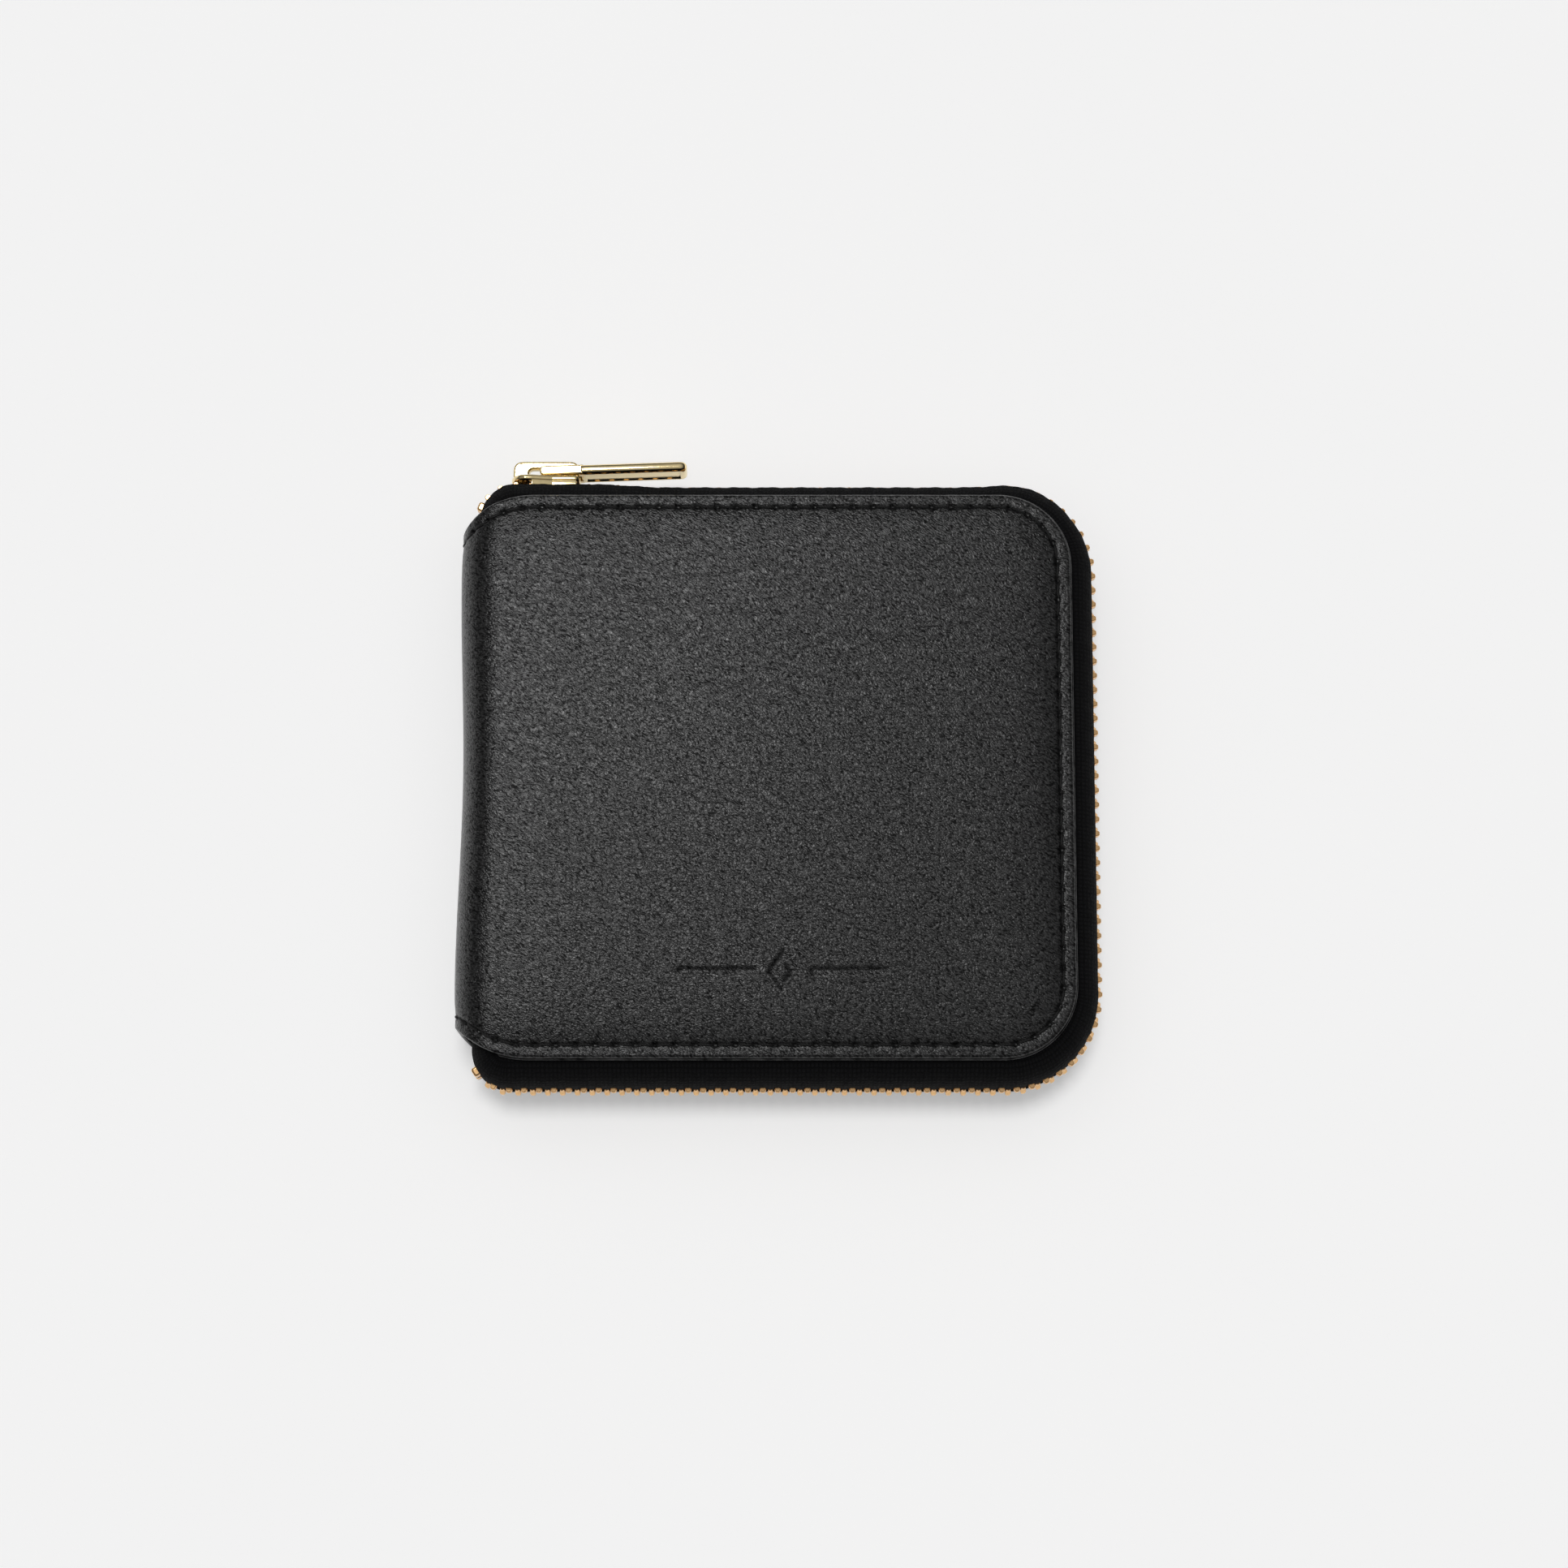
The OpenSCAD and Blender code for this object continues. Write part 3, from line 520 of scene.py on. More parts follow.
def inset_loop(loop, by):
    """A closed outline moved inwards; outlines run anticlockwise."""
    ahead = np.roll(loop, -1, 0) - loop
    ahead /= np.linalg.norm(ahead, axis=1)[:, None]
    left = np.stack([-ahead[:, 1], ahead[:, 0]], 1)
    before = np.roll(left, 1, 0)
    return loop + by * (left + before) / (1 + (left * before).sum(1))[:, None]


def rounded_outline(corners, radius, steps=6):
    """A closed outline with round corners; radius is one number or one for each corner."""
    p = np.asarray(corners, float)
    made = []
    for k, r in enumerate(np.broadcast_to(radius, len(p))):
        u, v = p[k - 1] - p[k], p[(k + 1) % len(p)] - p[k]
        lu, lv = np.linalg.norm(u), np.linalg.norm(v)
        half = math.acos(np.clip(u @ v / lu / lv, -1, 1)) / 2
        cut = min(r / math.tan(half), 0.49 * lu, 0.49 * lv)
        for t in np.linspace(0, 1, steps) if r > 0 else [0]:
            made.append(p[k] + (1 - t) ** 2 * cut * u / lu + t * t * cut * v / lv)
    return np.array(made)


def rounded(low, high, radius, steps=4):
    """The (inset, height) steps of a plate's edge, rounded at both faces."""
    turn = np.linspace(0, math.pi / 2, steps)
    first = [(radius * (1 - math.sin(a)), low + radius * (1 - math.cos(a))) for a in turn]
    return first + [(d, low + high - h) for d, h in first[::-1]]


def stepped(outline, profile, place, hole=None):
    """A solid whose outline is inset and lifted step by step along its profile, from its low face to its high one.

    place puts (a, b, height) in the wallet; hole is a second outline with as many points. An outline that
    is inset by more than its corners' radius is given as a function of the inset.
    """
    if hole is not None:
        profile = [(profile[0][0] + 0.06, profile[0][1])] + profile + [(profile[-1][0] + 0.06, profile[-1][1])]
    loops = [(outline(d) if callable(outline) else inset_loop(outline, d), h) for d, h in profile]
    n = len(loops[0][0])
    if hole is not None:
        loops += [(inset_loop(hole, -d), h) for d, h in profile[::-1]]
    points = np.concatenate([np.column_stack([loop, np.full(n, h)]) for loop, h in loops])
    last = len(loops) if hole is not None else len(loops) - 1
    faces = [(k * n + i, k * n + (i + 1) % n, (k + 1) % len(loops) * n + (i + 1) % n, (k + 1) % len(loops) * n + i)
             for k in range(last) for i in range(n)]
    if hole is None:
        faces += [tuple(range(n))[::-1], tuple(range(len(points) - n, len(points)))]
    return placed(points, faces, place)


def placed(points, faces, place):
    """Points and faces put in the wallet, turned inside out again where place mirrors them."""
    x, y, z = place(*np.array(points, float).T)
    frame_of = np.array([np.ravel(place(*p)) for p in np.concatenate([np.zeros((1, 3)), np.eye(3)])], float)
    flip = -1 if np.linalg.det(frame_of[1:] - frame_of[0]) < 0 else 1
    return np.column_stack([x, y, z]), [f[::flip] for f in faces], np.asarray(points)[:, :2] / 100


def joined(name, parts, material, smooth=True):
    """One piece from several parts."""
    points, faces, uvs, base = [], [], [], 0
    for part_points, part_faces, uv in parts:
        points.append(part_points)
        uvs.append(uv)
        faces += [tuple(int(v) + base for v in f) for f in part_faces]
        base += len(part_points)
    return mesh_object(name, np.concatenate(points), faces, material, smooth, np.concatenate(uvs))


def flat_layer(x_from, inset, radius):
    """The outline of a flat layer under a cover, from x_from to the zip side."""
    path = cover_path(inset, 1.0)
    path[:, 0] += FOLD - ARC_END
    path = path[path[:, 0] > x_from + radius + 0.5]
    top = np.concatenate([[(x_from, float(half_height(x_from, inset)))], path])
    loop = np.concatenate([top, top[-2::-1] * (1, -1)])[::-1]
    radii = np.zeros(len(loop))
    radii[[0, -1]] = radius
    return rounded_outline(loop, radii)


def from_back(x, y, z):
    return x, y, z


def from_front(x, y, z):
    return x, y, THICK - z


edge_paint = leather_finish("edge_paint", (0.012, 0.012, 0.012), 1.2, 0.02, 0.36)
for cover, place in (("front", from_front), ("back", from_back)):
    backing = joined(cover + "_stiffener", [stepped(flat_layer(FOLD + 1, 0, 0.6), rounded(1.25, 2.0, 0.3), place)],
                     edge_paint)
    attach(backing, cover)
    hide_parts("stiffener_" + cover)

# ----------------------------------------------------------------- zip tapes
# Two black woven tapes, one to a cover, glued in between the stiffener and
# the lining. Each comes out under the cover's edge, turns down to the middle
# of the side and ends in a bead that its teeth are crimped on.

TEETH_LOW, TEETH_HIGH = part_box("zip_teeth_front")
TOOTH_T, END_R, CHAIN_R, TUCK, PITCH = 2.4, 6.0, CORNER_R + 3.0, 3.0, 2.5
CHAIN_TOP, CHAIN_LOW = TEETH_HIGH.y / MM - TOOTH_T / 2, TEETH_LOW.y / MM + TOOTH_T / 2
CHAIN_SIDE, CHAIN_END = TEETH_HIGH.x / MM - TOOTH_T / 2, LEFT + 3.4
MID_Z = THICK / 2
PARTED = 4.35
RUN = CHAIN_SIDE - CHAIN_R - CHAIN_END - END_R
LENGTHS = [TUCK, END_R * math.pi / 2, RUN, CHAIN_R * math.pi / 2, CHAIN_TOP - CHAIN_LOW - 2 * CHAIN_R,
           CHAIN_R * math.pi / 2, RUN, END_R * math.pi / 2, TUCK]
KNOTS = np.concatenate([[0], np.cumsum(LENGTHS)])
CHAIN_S = np.linspace(0, KNOTS[-1], 20001)
CHAIN_HEADING = np.interp(CHAIN_S, KNOTS, np.radians([90, 90, 0, 0, -90, -90, -180, -180, -270, -270]))
HEADS = np.column_stack([np.cos(CHAIN_HEADING), np.sin(CHAIN_HEADING)])
CHAIN_XY = np.concatenate([[(CHAIN_END, CHAIN_TOP - END_R - TUCK)],
                           (CHAIN_END, CHAIN_TOP - END_R - TUCK)
                           + np.cumsum((HEADS[1:] + HEADS[:-1]) / 2 * CHAIN_S[1], axis=0)])
MESH_FROM = KNOTS[2] + PARTED


def chain_at(s):
    """The chain's middle and its outward direction at s along it."""
    xy = np.stack([np.interp(s, CHAIN_S, CHAIN_XY[:, k]) for k in (0, 1)], -1)
    heading = np.interp(s, CHAIN_S, CHAIN_HEADING)
    outward = np.stack([-np.sin(heading), np.cos(heading)], -1)
    sag = 0.6 * soft_step(s, MESH_FROM + 8, MESH_FROM + 22) * soft_step(s, KNOTS[3] + 8, KNOTS[3] - 8)
    return xy - np.asarray(sag)[..., None] * outward, outward


def parting(s):
    """How far each row stands off the middle, where the rows part behind the slider."""
    return 1.35 * soft_step(MESH_FROM - np.asarray(s, float), 0, 4.5)


def woven(name, dark, light, rib_mm, rough):
    """A tight narrow weave: ribs across it and knitted columns along it."""
    material, tree, shader = new_material(name)
    place = node(tree, "ShaderNodeUVMap", uv_map="flat")
    across = node(tree, "ShaderNodeTexWave", [("Vector", place.outputs[0]), ("Scale", 31.4 / rib_mm),
                                              ("Distortion", 0.8), ("Detail", 1.0)], bands_direction="X")
    along = node(tree, "ShaderNodeTexWave", [("Vector", place.outputs[0]), ("Scale", 31.4 / rib_mm / 1.3),
                                             ("Distortion", 1.2), ("Detail", 1.0)], bands_direction="Y")
    fuzz = node(tree, "ShaderNodeTexNoise", [("Vector", place.outputs[0]), ("Scale", 900.0), ("Detail", 3.0)])
    weave = node(tree, "ShaderNodeMath", [(0, across.outputs["Fac"]), (1, along.outputs["Fac"])],
                 operation="MULTIPLY")
    rough_weave = node(tree, "ShaderNodeMath", [(0, weave.outputs[0]), (1, fuzz.outputs["Fac"])], operation="ADD")
    bump = node(tree, "ShaderNodeBump", [("Height", rough_weave.outputs[0]), ("Strength", 1.0),
                                         ("Distance", 0.18 * MM)])
    tree.links.new(bump.outputs[0], shader.inputs["Normal"])
    # Painted shade: the colour runs from dark in the hollows between ribs and columns to light on their crowns.
    tone = node(tree, "ShaderNodeValToRGB", [("Fac", rough_weave.outputs[0])])
    tone.color_ramp.elements[0].position, tone.color_ramp.elements[1].position = 0.3, 1.3 / 1.5
    tone.color_ramp.elements[0].color = (*dark, 1)
    tone.color_ramp.elements[1].color = (*light, 1)
    tree.links.new(tone.outputs["Color"], shader.inputs["Base Color"])
    shader.inputs["Roughness"].default_value = rough
    shader.inputs["Specular IOR Level"].default_value = 0.12
    return material


tape_weave = woven("tape_weave", (0.0004, 0.0004, 0.0005), (0.0075, 0.0075, 0.0082), 0.7, 0.9)


def zip_tape(name, side):
    """One tape, a closed strip with its section swept along the chain."""
    turn = np.linspace(0, math.pi / 2, 12)
    out = np.concatenate([np.zeros(6), -4.2 * (1 - np.cos(turn)), [-5.4, -6.9, -8.5]])
    rise = np.concatenate([[1.0, 1.3, 1.7, 2.1, 2.5, 2.9], 3.3 + 5.45 * np.sin(turn), [8.75] * 3])
    lean = np.stack([np.gradient(rise), -np.gradient(out)], 1)
    lean /= np.linalg.norm(lean, axis=1)[:, None]
    half = 0.25 + 0.12 * bell(rise - 1.2, 0.5) * (out == 0)
    s = np.linspace(0, KNOTS[-1], 560)
    xy, outward = chain_at(s)
    bend_near = soft_step(np.minimum(np.abs(s - KNOTS[1] - 4.7), np.abs(s - KNOTS[8] + 4.7)), 12, 5)
    reach = (8.5 - 3.4 * bend_near)[:, None]
    bulge = 0.3 * bell(rise - 5.6, 1.3)[None] * soft_step(outward[:, 1], 0.5, 1.0)[:, None]
    waves = 0.05 * np.sin(s[:, None] / 0.9 + rise[None] * 0.4) + 0.04 * np.sin(s[:, None] * 2.7 + rise[None])
    uneven = bulge + waves * bell(rise - 6, 1.8)[None]
    part = parting(s)[:, None] * (1 - soft_step(rise, 2.0, 6.5))[None]
    loops = []
    for face in (1, -1):
        o = np.maximum(out[None], -reach) + face * (half * lean[:, 0])[None] + uneven
        h = rise[None] + face * (half * lean[:, 1])[None] + part
        points = np.stack([xy[:, None, 0] + o * outward[:, None, 0], xy[:, None, 1] + o * outward[:, None, 1],
                           MID_Z + side * h], -1)
        loops.append(points if face > 0 else points[:, ::-1])
    grid = np.concatenate(loops, 1)
    rows, cols = grid.shape[:2]
    along = np.concatenate([[0], np.cumsum(np.hypot(np.diff(out), np.diff(rise)))])
    across = np.concatenate([along, along[::-1] + 20])
    uv = np.stack([np.repeat(s[:, None], cols, 1), np.repeat(across[None], rows, 0)], -1).reshape(-1, 2) / 100
    faces = [(i * cols + j, (i + 1) * cols + j, (i + 1) * cols + (j + 1) % cols, i * cols + (j + 1) % cols)[::side]
             for i in range(rows - 1) for j in range(cols)]
    faces += [tuple(range(cols))[::side], tuple(range((rows - 1) * cols, rows * cols))[::-side]]
    return mesh_object(name, grid.reshape(-1, 3), faces, tape_weave, uv=uv)


TURN = 4.9  # the tapes have turned right round with their cover this far from their ends
for side, cover in ((1, "front"), (-1, "back")):
    tape = zip_tape(cover + "_zip_tape", side)
    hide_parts("zip_tape_" + cover)
    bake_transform(tape)

# ----------------------------------------------------------------- zip teeth
# Brass teeth, stamped round-cornered and crimped on the tape's bead with two
# jaws. Their heads reach across to the other row. A staple ends each row at
# the slider, and an H-shaped one joins both rows at the far end.


def polished(name, tint, rough, worn):
    """Bright metal, slightly uneven in shine and colour."""
    material, tree, shader = new_material(name)
    place = node(tree, "ShaderNodeUVMap", uv_map="flat")
    haze = node(tree, "ShaderNodeTexNoise", [("Vector", place.outputs[0]), ("Scale", 180.0), ("Detail", 4.0)])
    shine = node(tree, "ShaderNodeMapRange", [("Value", haze.outputs["Fac"]), ("To Min", rough * 0.7),
                                              ("To Max", rough * 1.3)])
    tree.links.new(shine.outputs[0], shader.inputs["Roughness"])
    tone = node(tree, "ShaderNodeValToRGB", [("Fac", haze.outputs["Fac"])])
    tone.color_ramp.elements[0].position, tone.color_ramp.elements[1].position = 0.3, 0.7
    tone.color_ramp.elements[0].color = (*(worn * c for c in tint), 1)
    tone.color_ramp.elements[1].color = (*tint, 1)
    tree.links.new(tone.outputs["Color"], shader.inputs["Base Color"])
    shader.inputs["Metallic"].default_value = 1.0
    return material


brass = polished("tooth_brass", (0.83, 0.52, 0.25), 0.20, 0.8)
TOOTH_STEPS = [(-0.92, 0.20, 0.36), (-0.86, 0.30, 0.50), (-0.66, 0.36, 0.60), (0.60, 0.36, 0.60),
               (0.85, 0.44, 0.90), (1.15, 0.54, 1.06), (2.40, 0.54, 1.08), (2.70, 0.50, 1.02), (2.84, 0.41, 0.88)]


def tooth_row(name, places, material):
    """A row of teeth; each place turns (along, outward, across) into the wallet."""
    turn = np.linspace(0, 2 * math.pi, 12, endpoint=False) + math.pi / 12
    ring = np.stack([np.sign(np.cos(turn)) * np.abs(np.cos(turn)) ** 0.6,
                     np.sign(np.sin(turn)) * np.abs(np.sin(turn)) ** 0.6], 1)
    points = np.concatenate([np.column_stack([ring * (a, b), np.full(12, h)]) for h, a, b in TOOTH_STEPS])
    faces = [(k * 12 + i, k * 12 + (i + 1) % 12, (k + 1) * 12 + (i + 1) % 12, (k + 1) * 12 + i)
             for k in range(len(TOOTH_STEPS) - 1) for i in range(12)]
    faces += [tuple(range(12))[::-1], tuple(range(len(points) - 12, len(points)))]
    parts = []
    for k, place in enumerate(places):
        part, made, uv = placed(points, faces, place)
        parts.append((part, made, uv + (0.031 * k, 0)))
    return joined(name, parts, material)


def on_chain(s, side):
    """Puts (along, outward, across) at s on the main chain."""
    xy, outward = chain_at(s)
    lift = MID_Z + side * float(parting(s))

    def place(a, b, h):
        return xy[0] + a * outward[1] + b * outward[0], xy[1] - a * outward[0] + b * outward[1], lift + side * h
    return place


FIRST_TOOTH = TUCK + 0.45 * END_R * math.pi / 2
LAST_TOOTH = KNOTS[-1] - FIRST_TOOTH
TEETH = int((LAST_TOOTH - FIRST_TOOTH) / PITCH)


def turn_with(piece, cover, x):
    """A hard piece of the zip at x goes with its cover when it lies past the tape's bend, and otherwise stays where
    it is.
    """
    share = (x - CHAIN_END) / TURN
    if share >= 1:
        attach(piece, cover)
    else:
        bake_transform(piece)


STRAIGHT = 4  # groups of teeth in the bend, and the number of the group beyond it
bar = rounded_outline([(-0.8, -1.2), (0.8, -1.2), (0.8, 1.2), (-0.8, 1.2)], 0.5)
for side, cover in ((1, "front"), (-1, "back")):
    groups = {}
    for i in range(TEETH):
        s = FIRST_TOOTH + (i + (0 if side > 0 else 0.5)) * PITCH
        x = float(chain_at(s)[0][0])
        groups.setdefault(min(int((x - CHAIN_END) / TURN * STRAIGHT), STRAIGHT), []).append((x, on_chain(s, side)))
    for number, teeth in sorted(groups.items()):
        name = cover + "_zip_teeth" + ("" if number == STRAIGHT else "_end_%d" % number)
        row = tooth_row(name, [place for _, place in teeth], brass)
        if number == STRAIGHT:
            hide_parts("zip_teeth_" + cover)
        turn_with(row, cover, sum(x for x, _ in teeth) / len(teeth))
    s = FIRST_TOOTH - 0.75 * PITCH
    staple = joined(cover + "_top_stop", [stepped(bar, rounded(0.6, 3.0, 0.35), on_chain(s, side))], brass)
    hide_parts("zip_top_stop_" + cover)
    turn_with(staple, cover, float(chain_at(s)[0][0]))
far_end = on_chain(LAST_TOOTH + 0.35 * PITCH, 1)
end_stop = joined("bottom_stop", [stepped(bar, rounded(0.5, 2.9, 0.35), far_end),
                                  stepped(bar, rounded(-2.9, -0.5, 0.35), far_end),
                                  stepped(bar * 0.8, rounded(-0.7, 0.7, 0.1), far_end)], brass)
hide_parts("zip_bottom_stop")
turn_with(end_stop, "back", float(chain_at(LAST_TOOTH)[0][0]))

# ------------------------------------------------------------------- slider
# The main slider, cast in zinc and plated a pale gold: two plates joined by
# a wedge at the nose, turned-in flanges at the tail, and a crown on the
# outer plate with a long hole for the pull.

gold = polished("gold_plate", (0.90, 0.73, 0.40), 0.13, 0.93)
SLIDER_LENGTH = 11.9
SLIDER_X = CHAIN_END + END_R - 1.1 + SLIDER_LENGTH / 2
PLAN = np.array([(-5.95, 1.6), (-5.45, 3.2), (-4.55, 4.05), (-3.55, 4.45), (-2.4, 4.35), (1.2, 3.65), (5.35, 3.65),
                 (5.95, 3.05)])


def ray_loop(outline, centre, angles):
    """The outline's points in the given directions from a centre inside it."""
    p = np.asarray(outline, float) - centre
    e = np.roll(p, -1, 0) - p
    d = np.stack([np.cos(angles), np.sin(angles)], 1)
    cross = d[:, :1] * e[None, :, 1] - d[:, 1:] * e[None, :, 0]
    cross = np.where(np.abs(cross) < 1e-12, 1e-12, cross)
    r = (p[:, 0] * e[:, 1] - p[:, 1] * e[:, 0])[None] / cross
    t = (p[None, :, 0] * d[:, 1:] - p[None, :, 1] * d[:, :1]) / cross
    r = np.where((t > -1e-6) & (t < 1 + 1e-6) & (r > 0), r, np.inf).min(1)
    return np.asarray(centre) + r[:, None] * d


def holed(outline, hole, centre):
    """An outline and a hole in it, with points that face each other."""
    angles = np.concatenate([np.arctan2(*(np.asarray(c) - centre).T[::-1]) for c in (outline, hole)])
    angles = np.unique(np.round(angles, 4))
    return ray_loop(outline, centre, angles), ray_loop(hole, centre, angles)


def slider_parts(at, floor):
    """The slider's parts; at puts (along, up from the chain, across) in the wallet, nose at -along."""
    def lying(a, b, h):
        return at(a, h, b)

    plan = rounded_outline(np.concatenate([PLAN * (1, -1), PLAN[::-1]]), 0.7)
    outer = rounded(1.35, 2.35, 0.35) + [(0.6, 2.40)]
    inner = [(0.6, floor - 1.13)] + rounded(floor - 1, floor, 0.35)
    parts = [stepped(plan, outer, lying), stepped(plan, inner, lying)]
    wedge = rounded_outline([(-5.55, 0), (-5.05, -0.25), (-4.45, -0.25), (-3.65, 0), (-4.45, 0.25), (-5.05, 0.25)],
                            0.1)
    parts.append(stepped(wedge, [(0, floor - 0.15), (0, 1.5)], lying))
    edge = np.array([(-2.4, 4.35), (1.2, 3.65), (5.35, 3.65)])
    for side in (-1, 1):
        strip = np.concatenate([edge * (1, side), edge[::-1] * (1, side) - (0, 0.6 * side)])[::-side]
        for low, high in ((0.5, 1.5), (floor - 0.15, floor + 0.75)):
            parts.append(stepped(rounded_outline(strip, 0.15), rounded(low, high, 0.12), lying))
    arch = rounded_outline([(-5.75, 1.9), (5.75, 1.9), (5.75, 5.55), (-5.75, 5.55)], [0.2, 0.2, 2.9, 2.9], 12)
    hole = rounded_outline([(-3.0, 2.5), (1.8, 2.5), (1.8, 4.2), (-3.0, 4.2)], 0.84, 10)
    arch, hole = holed(arch, hole, np.array([-0.6, 3.35]))
    parts.append(stepped(arch, rounded(-1.0, 1.0, 0.32), at, hole=hole))
    return parts


def main_slider(a, b, h):
    return SLIDER_X + a, CHAIN_TOP + b, MID_Z + h


slider = joined("slider", slider_parts(main_slider, -1.85), gold)
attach(slider, "slider")
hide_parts("zip_slider")

# --------------------------------------------------------------------- pull
# The pull hangs on a round pin through the crown: two arms that run out into
# a flat bar with a raised rim round a sunk panel on both its faces. It is
# cast and plated like the slider.


PIN_ALONG, PIN_UP = -0.2, 3.35


def pull_parts(length, at):
    """The pull's parts, lying along the chain from the pin."""
    tilt = math.radians(2)

    def lying(a, b, h):
        return at(PIN_ALONG + a * math.cos(tilt) - h * math.sin(tilt),
                  PIN_UP + a * math.sin(tilt) + h * math.cos(tilt), b)

    def upright(a, b, h):
        return lying(a, h, b)

    def long_bar(d):
        return rounded_outline([(6 + d, d - 3.2), (length - d, d - 3.2), (length - d, 3.2 - d), (6 + d, 3.2 - d)],
                               [max(r - d, 0.15) for r in (0.3, 1.4, 1.4, 0.3)], 8)

    edge = rounded(-0.85, 0.85, 0.72, 6)
    if length > 14:
        sunk = [(1.7, -0.60), (1.25, -0.62), (1.12, -0.82), (1.0, -0.85)]
    else:
        sunk = [(0.9, -0.8)]
    profile = sunk + edge + [(d, -h) for d, h in sunk[::-1]]
    parts = [stepped(long_bar, profile, lying)]
    for side in (-1, 1):
        arm = rounded_outline([(-0.85, -0.85), (6.6, -0.85), (6.6, 0.85), (-0.85, 0.85)], [0.8, 0.1, 0.1, 0.8], 8)
        parts.append(stepped(arm, rounded(1.3, 3.2, 0.3) if side > 0 else rounded(-3.2, -1.3, 0.3), upright))
    turn = np.linspace(0, 2 * math.pi, 16, endpoint=False)
    parts.append(stepped(np.stack([0.6 * np.cos(turn), 0.6 * np.sin(turn)], 1), [(0, -1.6), (0, 1.6)], upright))
    return parts


pull = joined("pull", pull_parts(24.6, main_slider), gold)
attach(pull, "pull")
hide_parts("zip_pull")

# ------------------------------------------------------------------ linings
# A fine black twill, glued over the turned-in tape hems. One piece of it
# lines each cover and runs on round the spine to meet the other.

twill = woven("lining_twill", (0.006, 0.006, 0.007), (0.020, 0.020, 0.023), 0.4, 0.8)
LINING_INSET = 1.5
LINING_HALF = cover_path(LINING_INSET, 0.8)
LINING_EDGE = np.concatenate([LINING_HALF, LINING_HALF[-2::-1] * (1, -1)])


def lining_over(depth, flat):
    return -1.3 - 1.22 * soft_step(flat[:, 0], ARC_END - 6, ARC_END + 1) + spine_draw(*flat.T)


def lining_under(depth, flat):
    return lining_over(depth, flat) - 0.46


for side, cover, nodes in ((1, "front", ["lining_front", "lining_spine"]), (-1, "back", ["lining_back"])):
    cloth = wrapped_sheet(cover + "_lining", side, LINING_EDGE, [0.0, 1.0, 3.0], lining_over, lining_under,
                          [0.0, 1.0, 3.0], twill, closed=True)
    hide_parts(*nodes)
    bend_with(cloth)

# --------------------------------------------------------------- card slots
# The front cover holds four stepped card slots of thin matt leather on a
# full backing panel. Each slot's edge is painted and has a pressed line
# beside it; all are sewn in together round the outside.

inner_calf = leather_finish("inner_calf", (0.015, 0.0148, 0.0148), 0.34, 0.035, 0.56)
PANEL = 0.7
LINE = [(1.15, 0.0), (1.35, 0.10), (1.5, 0.13), (1.65, 0.10), (1.85, 0.0)]


def leather_panel(name, cad, body, place, x_from, depth):
    """A thin leather panel with a rounded edge and a pressed line beside it."""
    profile = rounded(depth, depth + PANEL, 0.22, 3) + [(d, depth + PANEL - sink) for d, sink in LINE]
    piece = joined(name, [stepped(flat_layer(x_from, 3.0, 2.4), profile, place)], inner_calf)
    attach(piece, body)
    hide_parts(cad)


def panel_stitches(name, body, place, x_from, height_at):
    """A closed row of short stitches in a panel's pressed line; height_at(x) is the leather's face."""
    path = inset_loop(flat_layer(x_from, 3.0, 2.4), 1.5)
    path = np.concatenate([path, path[:1]])
    along = np.concatenate([[0], np.cumsum(np.linalg.norm(np.diff(path, axis=0), axis=1))])
    count = int(along[-1] / 3.0)
    reach = np.array([-1.0, -0.85, -0.4, 0.4, 0.85, 1.0])
    turn = np.linspace(0, 2 * math.pi, 6, endpoint=False)
    parts = []
    for k in range(count):
        s = (k + 0.5 + 0.43 * reach) * along[-1] / count
        line = np.stack([np.interp(s, along, path[:, c]) for c in (0, 1)], 1)
        ahead = line[-1] - line[0]
        across = np.array([ahead[1], -ahead[0]]) / np.linalg.norm(ahead)
        thick = 0.2 * (1 - 0.4 * reach ** 4)
        drop = 0.04 + 0.3 * reach ** 6
        points = [(*(line[q] + across * thick[q] * math.cos(w)),
                   height_at(line[:, 0].mean()) - drop[q] + thick[q] * math.sin(w))
                  for q in range(len(reach)) for w in turn]
        faces = [(q * 6 + w, q * 6 + (w + 1) % 6, (q + 1) * 6 + (w + 1) % 6, (q + 1) * 6 + w)[::-1]
                 for q in range(len(reach) - 1) for w in range(6)]
        faces += [tuple(range(6)), tuple(range(len(points) - 6, len(points)))[::-1]]
        parts.append(placed(points, faces, place))
    stitches = joined(name, parts, thread)
    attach(stitches, body)


PANEL_X, PANEL_LOW = FOLD + 4, 3.0
SLOT_EDGES = np.array([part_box("card_slot_%d" % (k + 1))[0].x / MM for k in range(4)])
leather_panel("card_back", "card_backing", "front", from_front, PANEL_X, PANEL_LOW)
for k, slot_x in enumerate(SLOT_EDGES):
    leather_panel("card_slot_leather_%d" % (k + 1), "card_slot_%d" % (k + 1), "front", from_front, slot_x,
                  PANEL_LOW + PANEL * (k + 1))
panel_stitches("card_stitches", "front", from_front, PANEL_X,
               lambda x: PANEL_LOW + PANEL * (1 + int((SLOT_EDGES < x).sum())))
leather_panel("note_leather", "note_panel", "back", from_back, PANEL_X, PANEL_LOW)

# -------------------------------------------------------------- coin pocket
# On the back cover a flat twill bag hangs under a leather panel with a long
# window, and a small brass zip on two woven tapes closes the window.

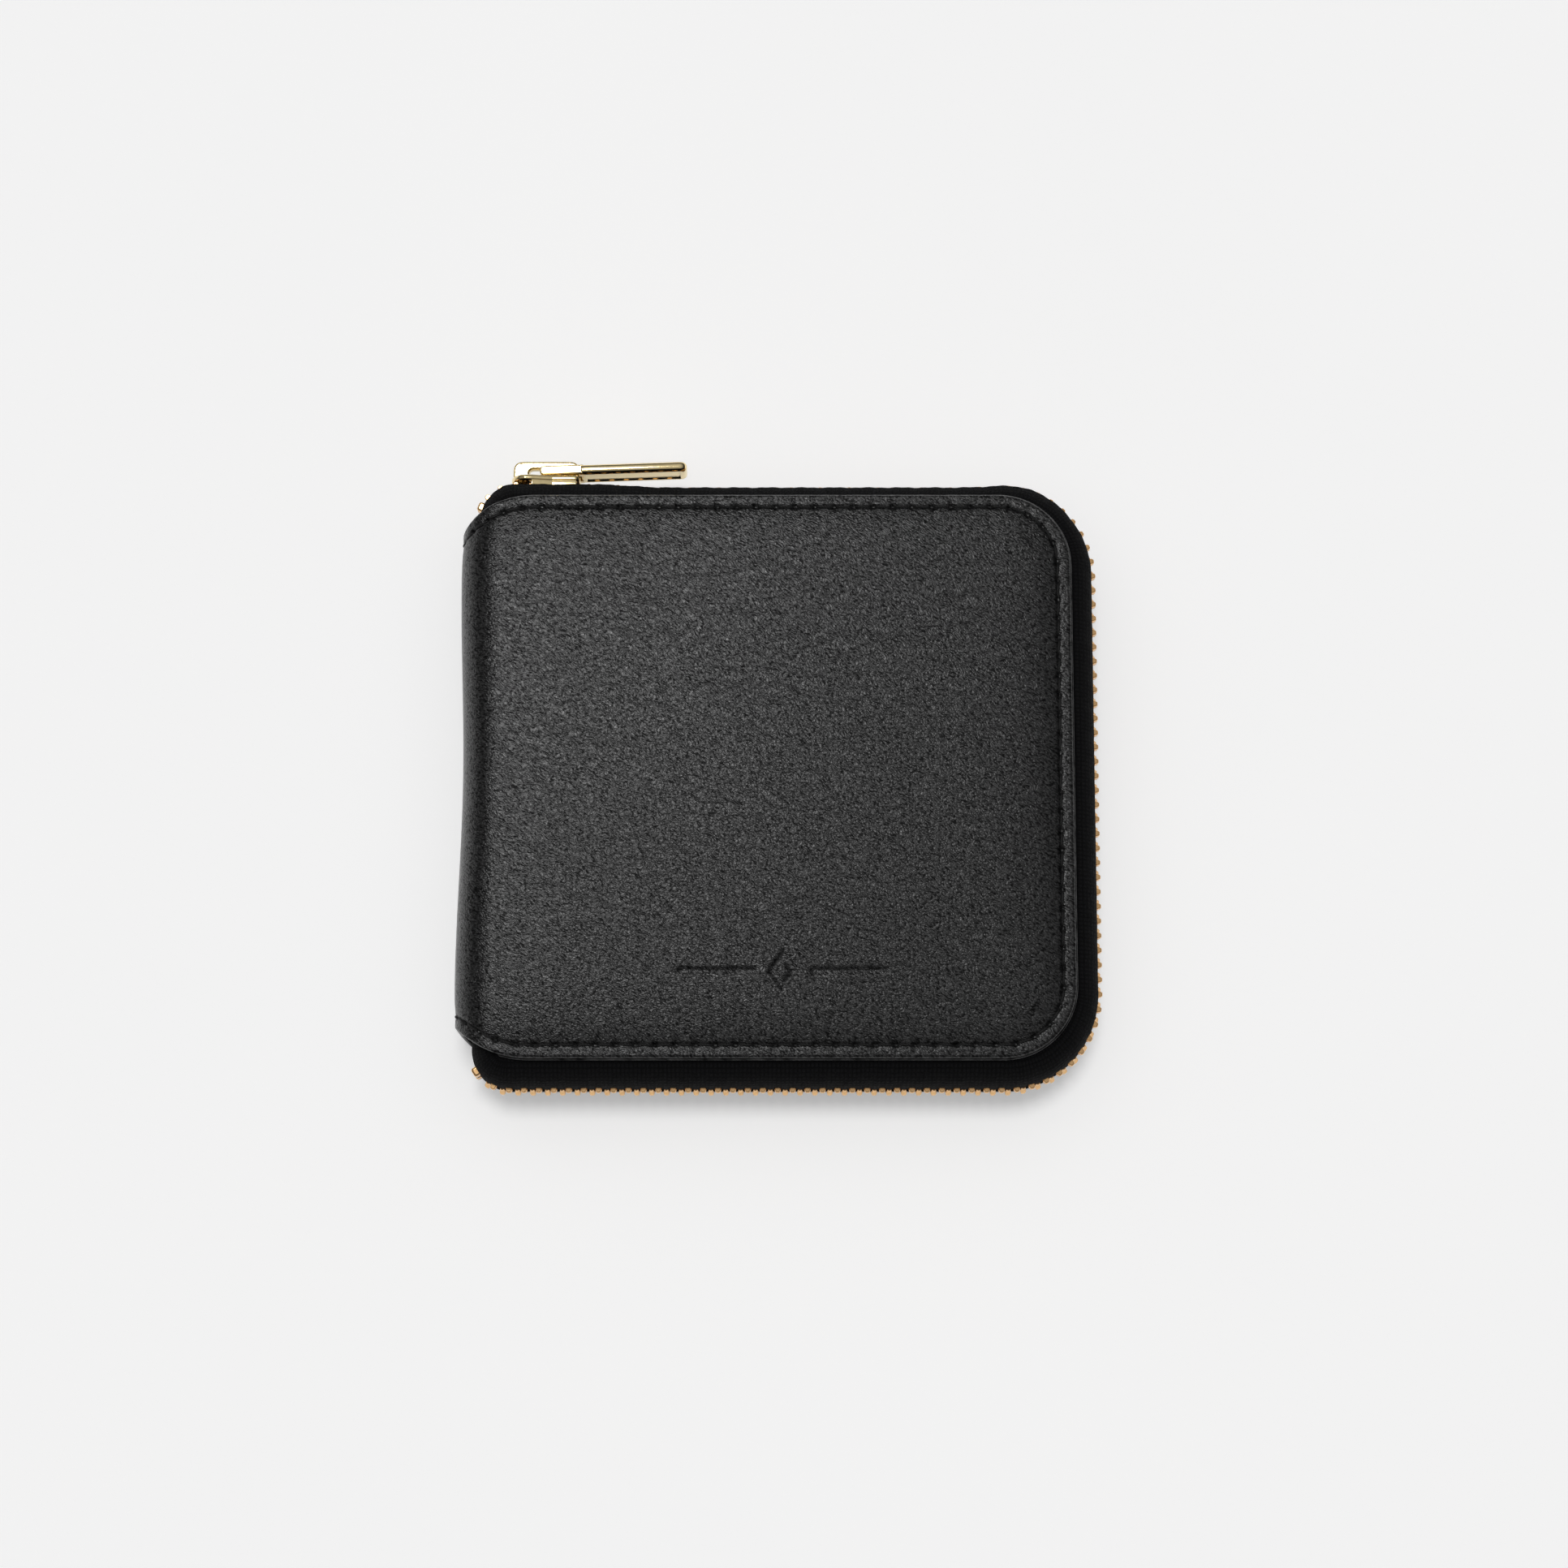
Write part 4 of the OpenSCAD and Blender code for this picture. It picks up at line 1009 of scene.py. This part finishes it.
COIN_X = FOLD + 23
BAG_LOW, BAG_HIGH = (Vector(c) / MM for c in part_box("coin_bag"))
bag_outline = rounded_outline([(BAG_LOW.x, BAG_LOW.y), (BAG_HIGH.x, BAG_LOW.y), (BAG_HIGH.x, BAG_HIGH.y),
                               (BAG_LOW.x, BAG_HIGH.y)], 5.0, 12)
bag_profile = [(3.2, 3.72), (1.6, 3.78), (0.5, 4.2), (0.0, 4.7), (-0.25, 4.85), (-0.25, 5.0), (0.0, 5.15),
               (0.5, 5.6), (1.6, 6.05), (3.2, 6.18)]
bag = joined("coin_bag_cloth", [stepped(bag_outline, bag_profile, from_back)], twill)
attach(bag, "back")
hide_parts("coin_bag")

COIN_LEVEL = 6.45
WINDOW_W, WINDOW_L = 8, 74
FACE_X, FACE_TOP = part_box("coin_panel")[0].x / MM, 7.4
left, right = COIN_X - WINDOW_W / 2, COIN_X + WINDOW_W / 2
window = rounded_outline([(left, -WINDOW_L / 2), (right, -WINDOW_L / 2), (right, WINDOW_L / 2), (left, WINDOW_L / 2)],
                         3.98, 12)
outline, window = holed(flat_layer(FACE_X, 3.0, 2.4), window, np.array([COIN_X, 0.0]))
profile = rounded(FACE_TOP - PANEL, FACE_TOP, 0.22, 3) + [(d * 0.8, FACE_TOP - sink) for d, sink in LINE]
coin_face = joined("coin_face", [stepped(outline, profile, from_back, hole=window)], inner_calf)
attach(coin_face, "back")
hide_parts("coin_panel")
panel_stitches("coin_face_stitches", "back", from_back, FACE_X, lambda x: FACE_TOP)

COIN = 0.78  # the coin zip is this much smaller than the main one
coin_slider_y = 29.0
coin_mesh_y = coin_slider_y + 0.5 * COIN


def coin_parting(y):
    """How far each row stands off the middle above the coin slider."""
    return 1.35 * soft_step((np.asarray(y, float) - coin_mesh_y) / COIN, 0, 4.5)


def on_coin_chain(y):
    """Puts (along, up, across) of the small chain in the wallet; along runs down from the slider."""
    def place(a, b, h):
        return COIN_X - h * COIN, y - a * COIN, COIN_LEVEL + b * COIN
    return place


for side, hand in ((-1, "left"), (1, "right")):
    rows = np.linspace(-39, 39, 120)
    edge = COIN_X + side * COIN * (1.05 + coin_parting(rows))
    outer = COIN_X + side * 8
    strip = np.concatenate([np.column_stack([edge, rows]), [(outer, 39), (outer, -39)]])
    tape = joined("coin_tape_%s_weave" % hand,
                  [stepped(strip[::-side], rounded(COIN_LEVEL - 0.24, COIN_LEVEL + 0.24, 0.1, 3), from_back)],
                  tape_weave)
    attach(tape, "back")
    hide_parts("coin_tape_" + hand)
    places = []
    for i in range(int((WINDOW_L - 5.6) / (PITCH * COIN))):
        y = -34 + (i + (0 if side > 0 else 0.5)) * PITCH * COIN
        apart = float(coin_parting(y))

        def place(a, b, h, y=y, apart=apart, side=side):
            return COIN_X + side * COIN * (h + apart), y - a * COIN, COIN_LEVEL + b * COIN
        places.append(place)
    row = tooth_row("coin_teeth_%s_row" % hand, places, brass)
    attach(row, "back")
    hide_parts("coin_teeth_" + hand)

ends = []
for end in (-1, 1):
    y = end * 35.8
    ends.append(stepped(rounded_outline([(COIN_X - 1.3, y - 0.6), (COIN_X + 1.3, y - 0.6), (COIN_X + 1.3, y + 0.6),
                                         (COIN_X - 1.3, y + 0.6)], 0.35), rounded(5.55, 7.35, 0.3), from_back))
coin_ends = joined("coin_stops", ends, brass)
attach(coin_ends, "back")
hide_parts("coin_end_stops")

coin_slider = joined("coin_zip_slider", slider_parts(on_coin_chain(coin_slider_y), -1.35), gold)
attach(coin_slider, "coin_slider")
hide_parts("coin_slider")
coin_pull = joined("coin_zip_pull", pull_parts(10.4, on_coin_chain(coin_slider_y)), gold)
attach(coin_pull, "coin_pull")
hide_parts("coin_pull")
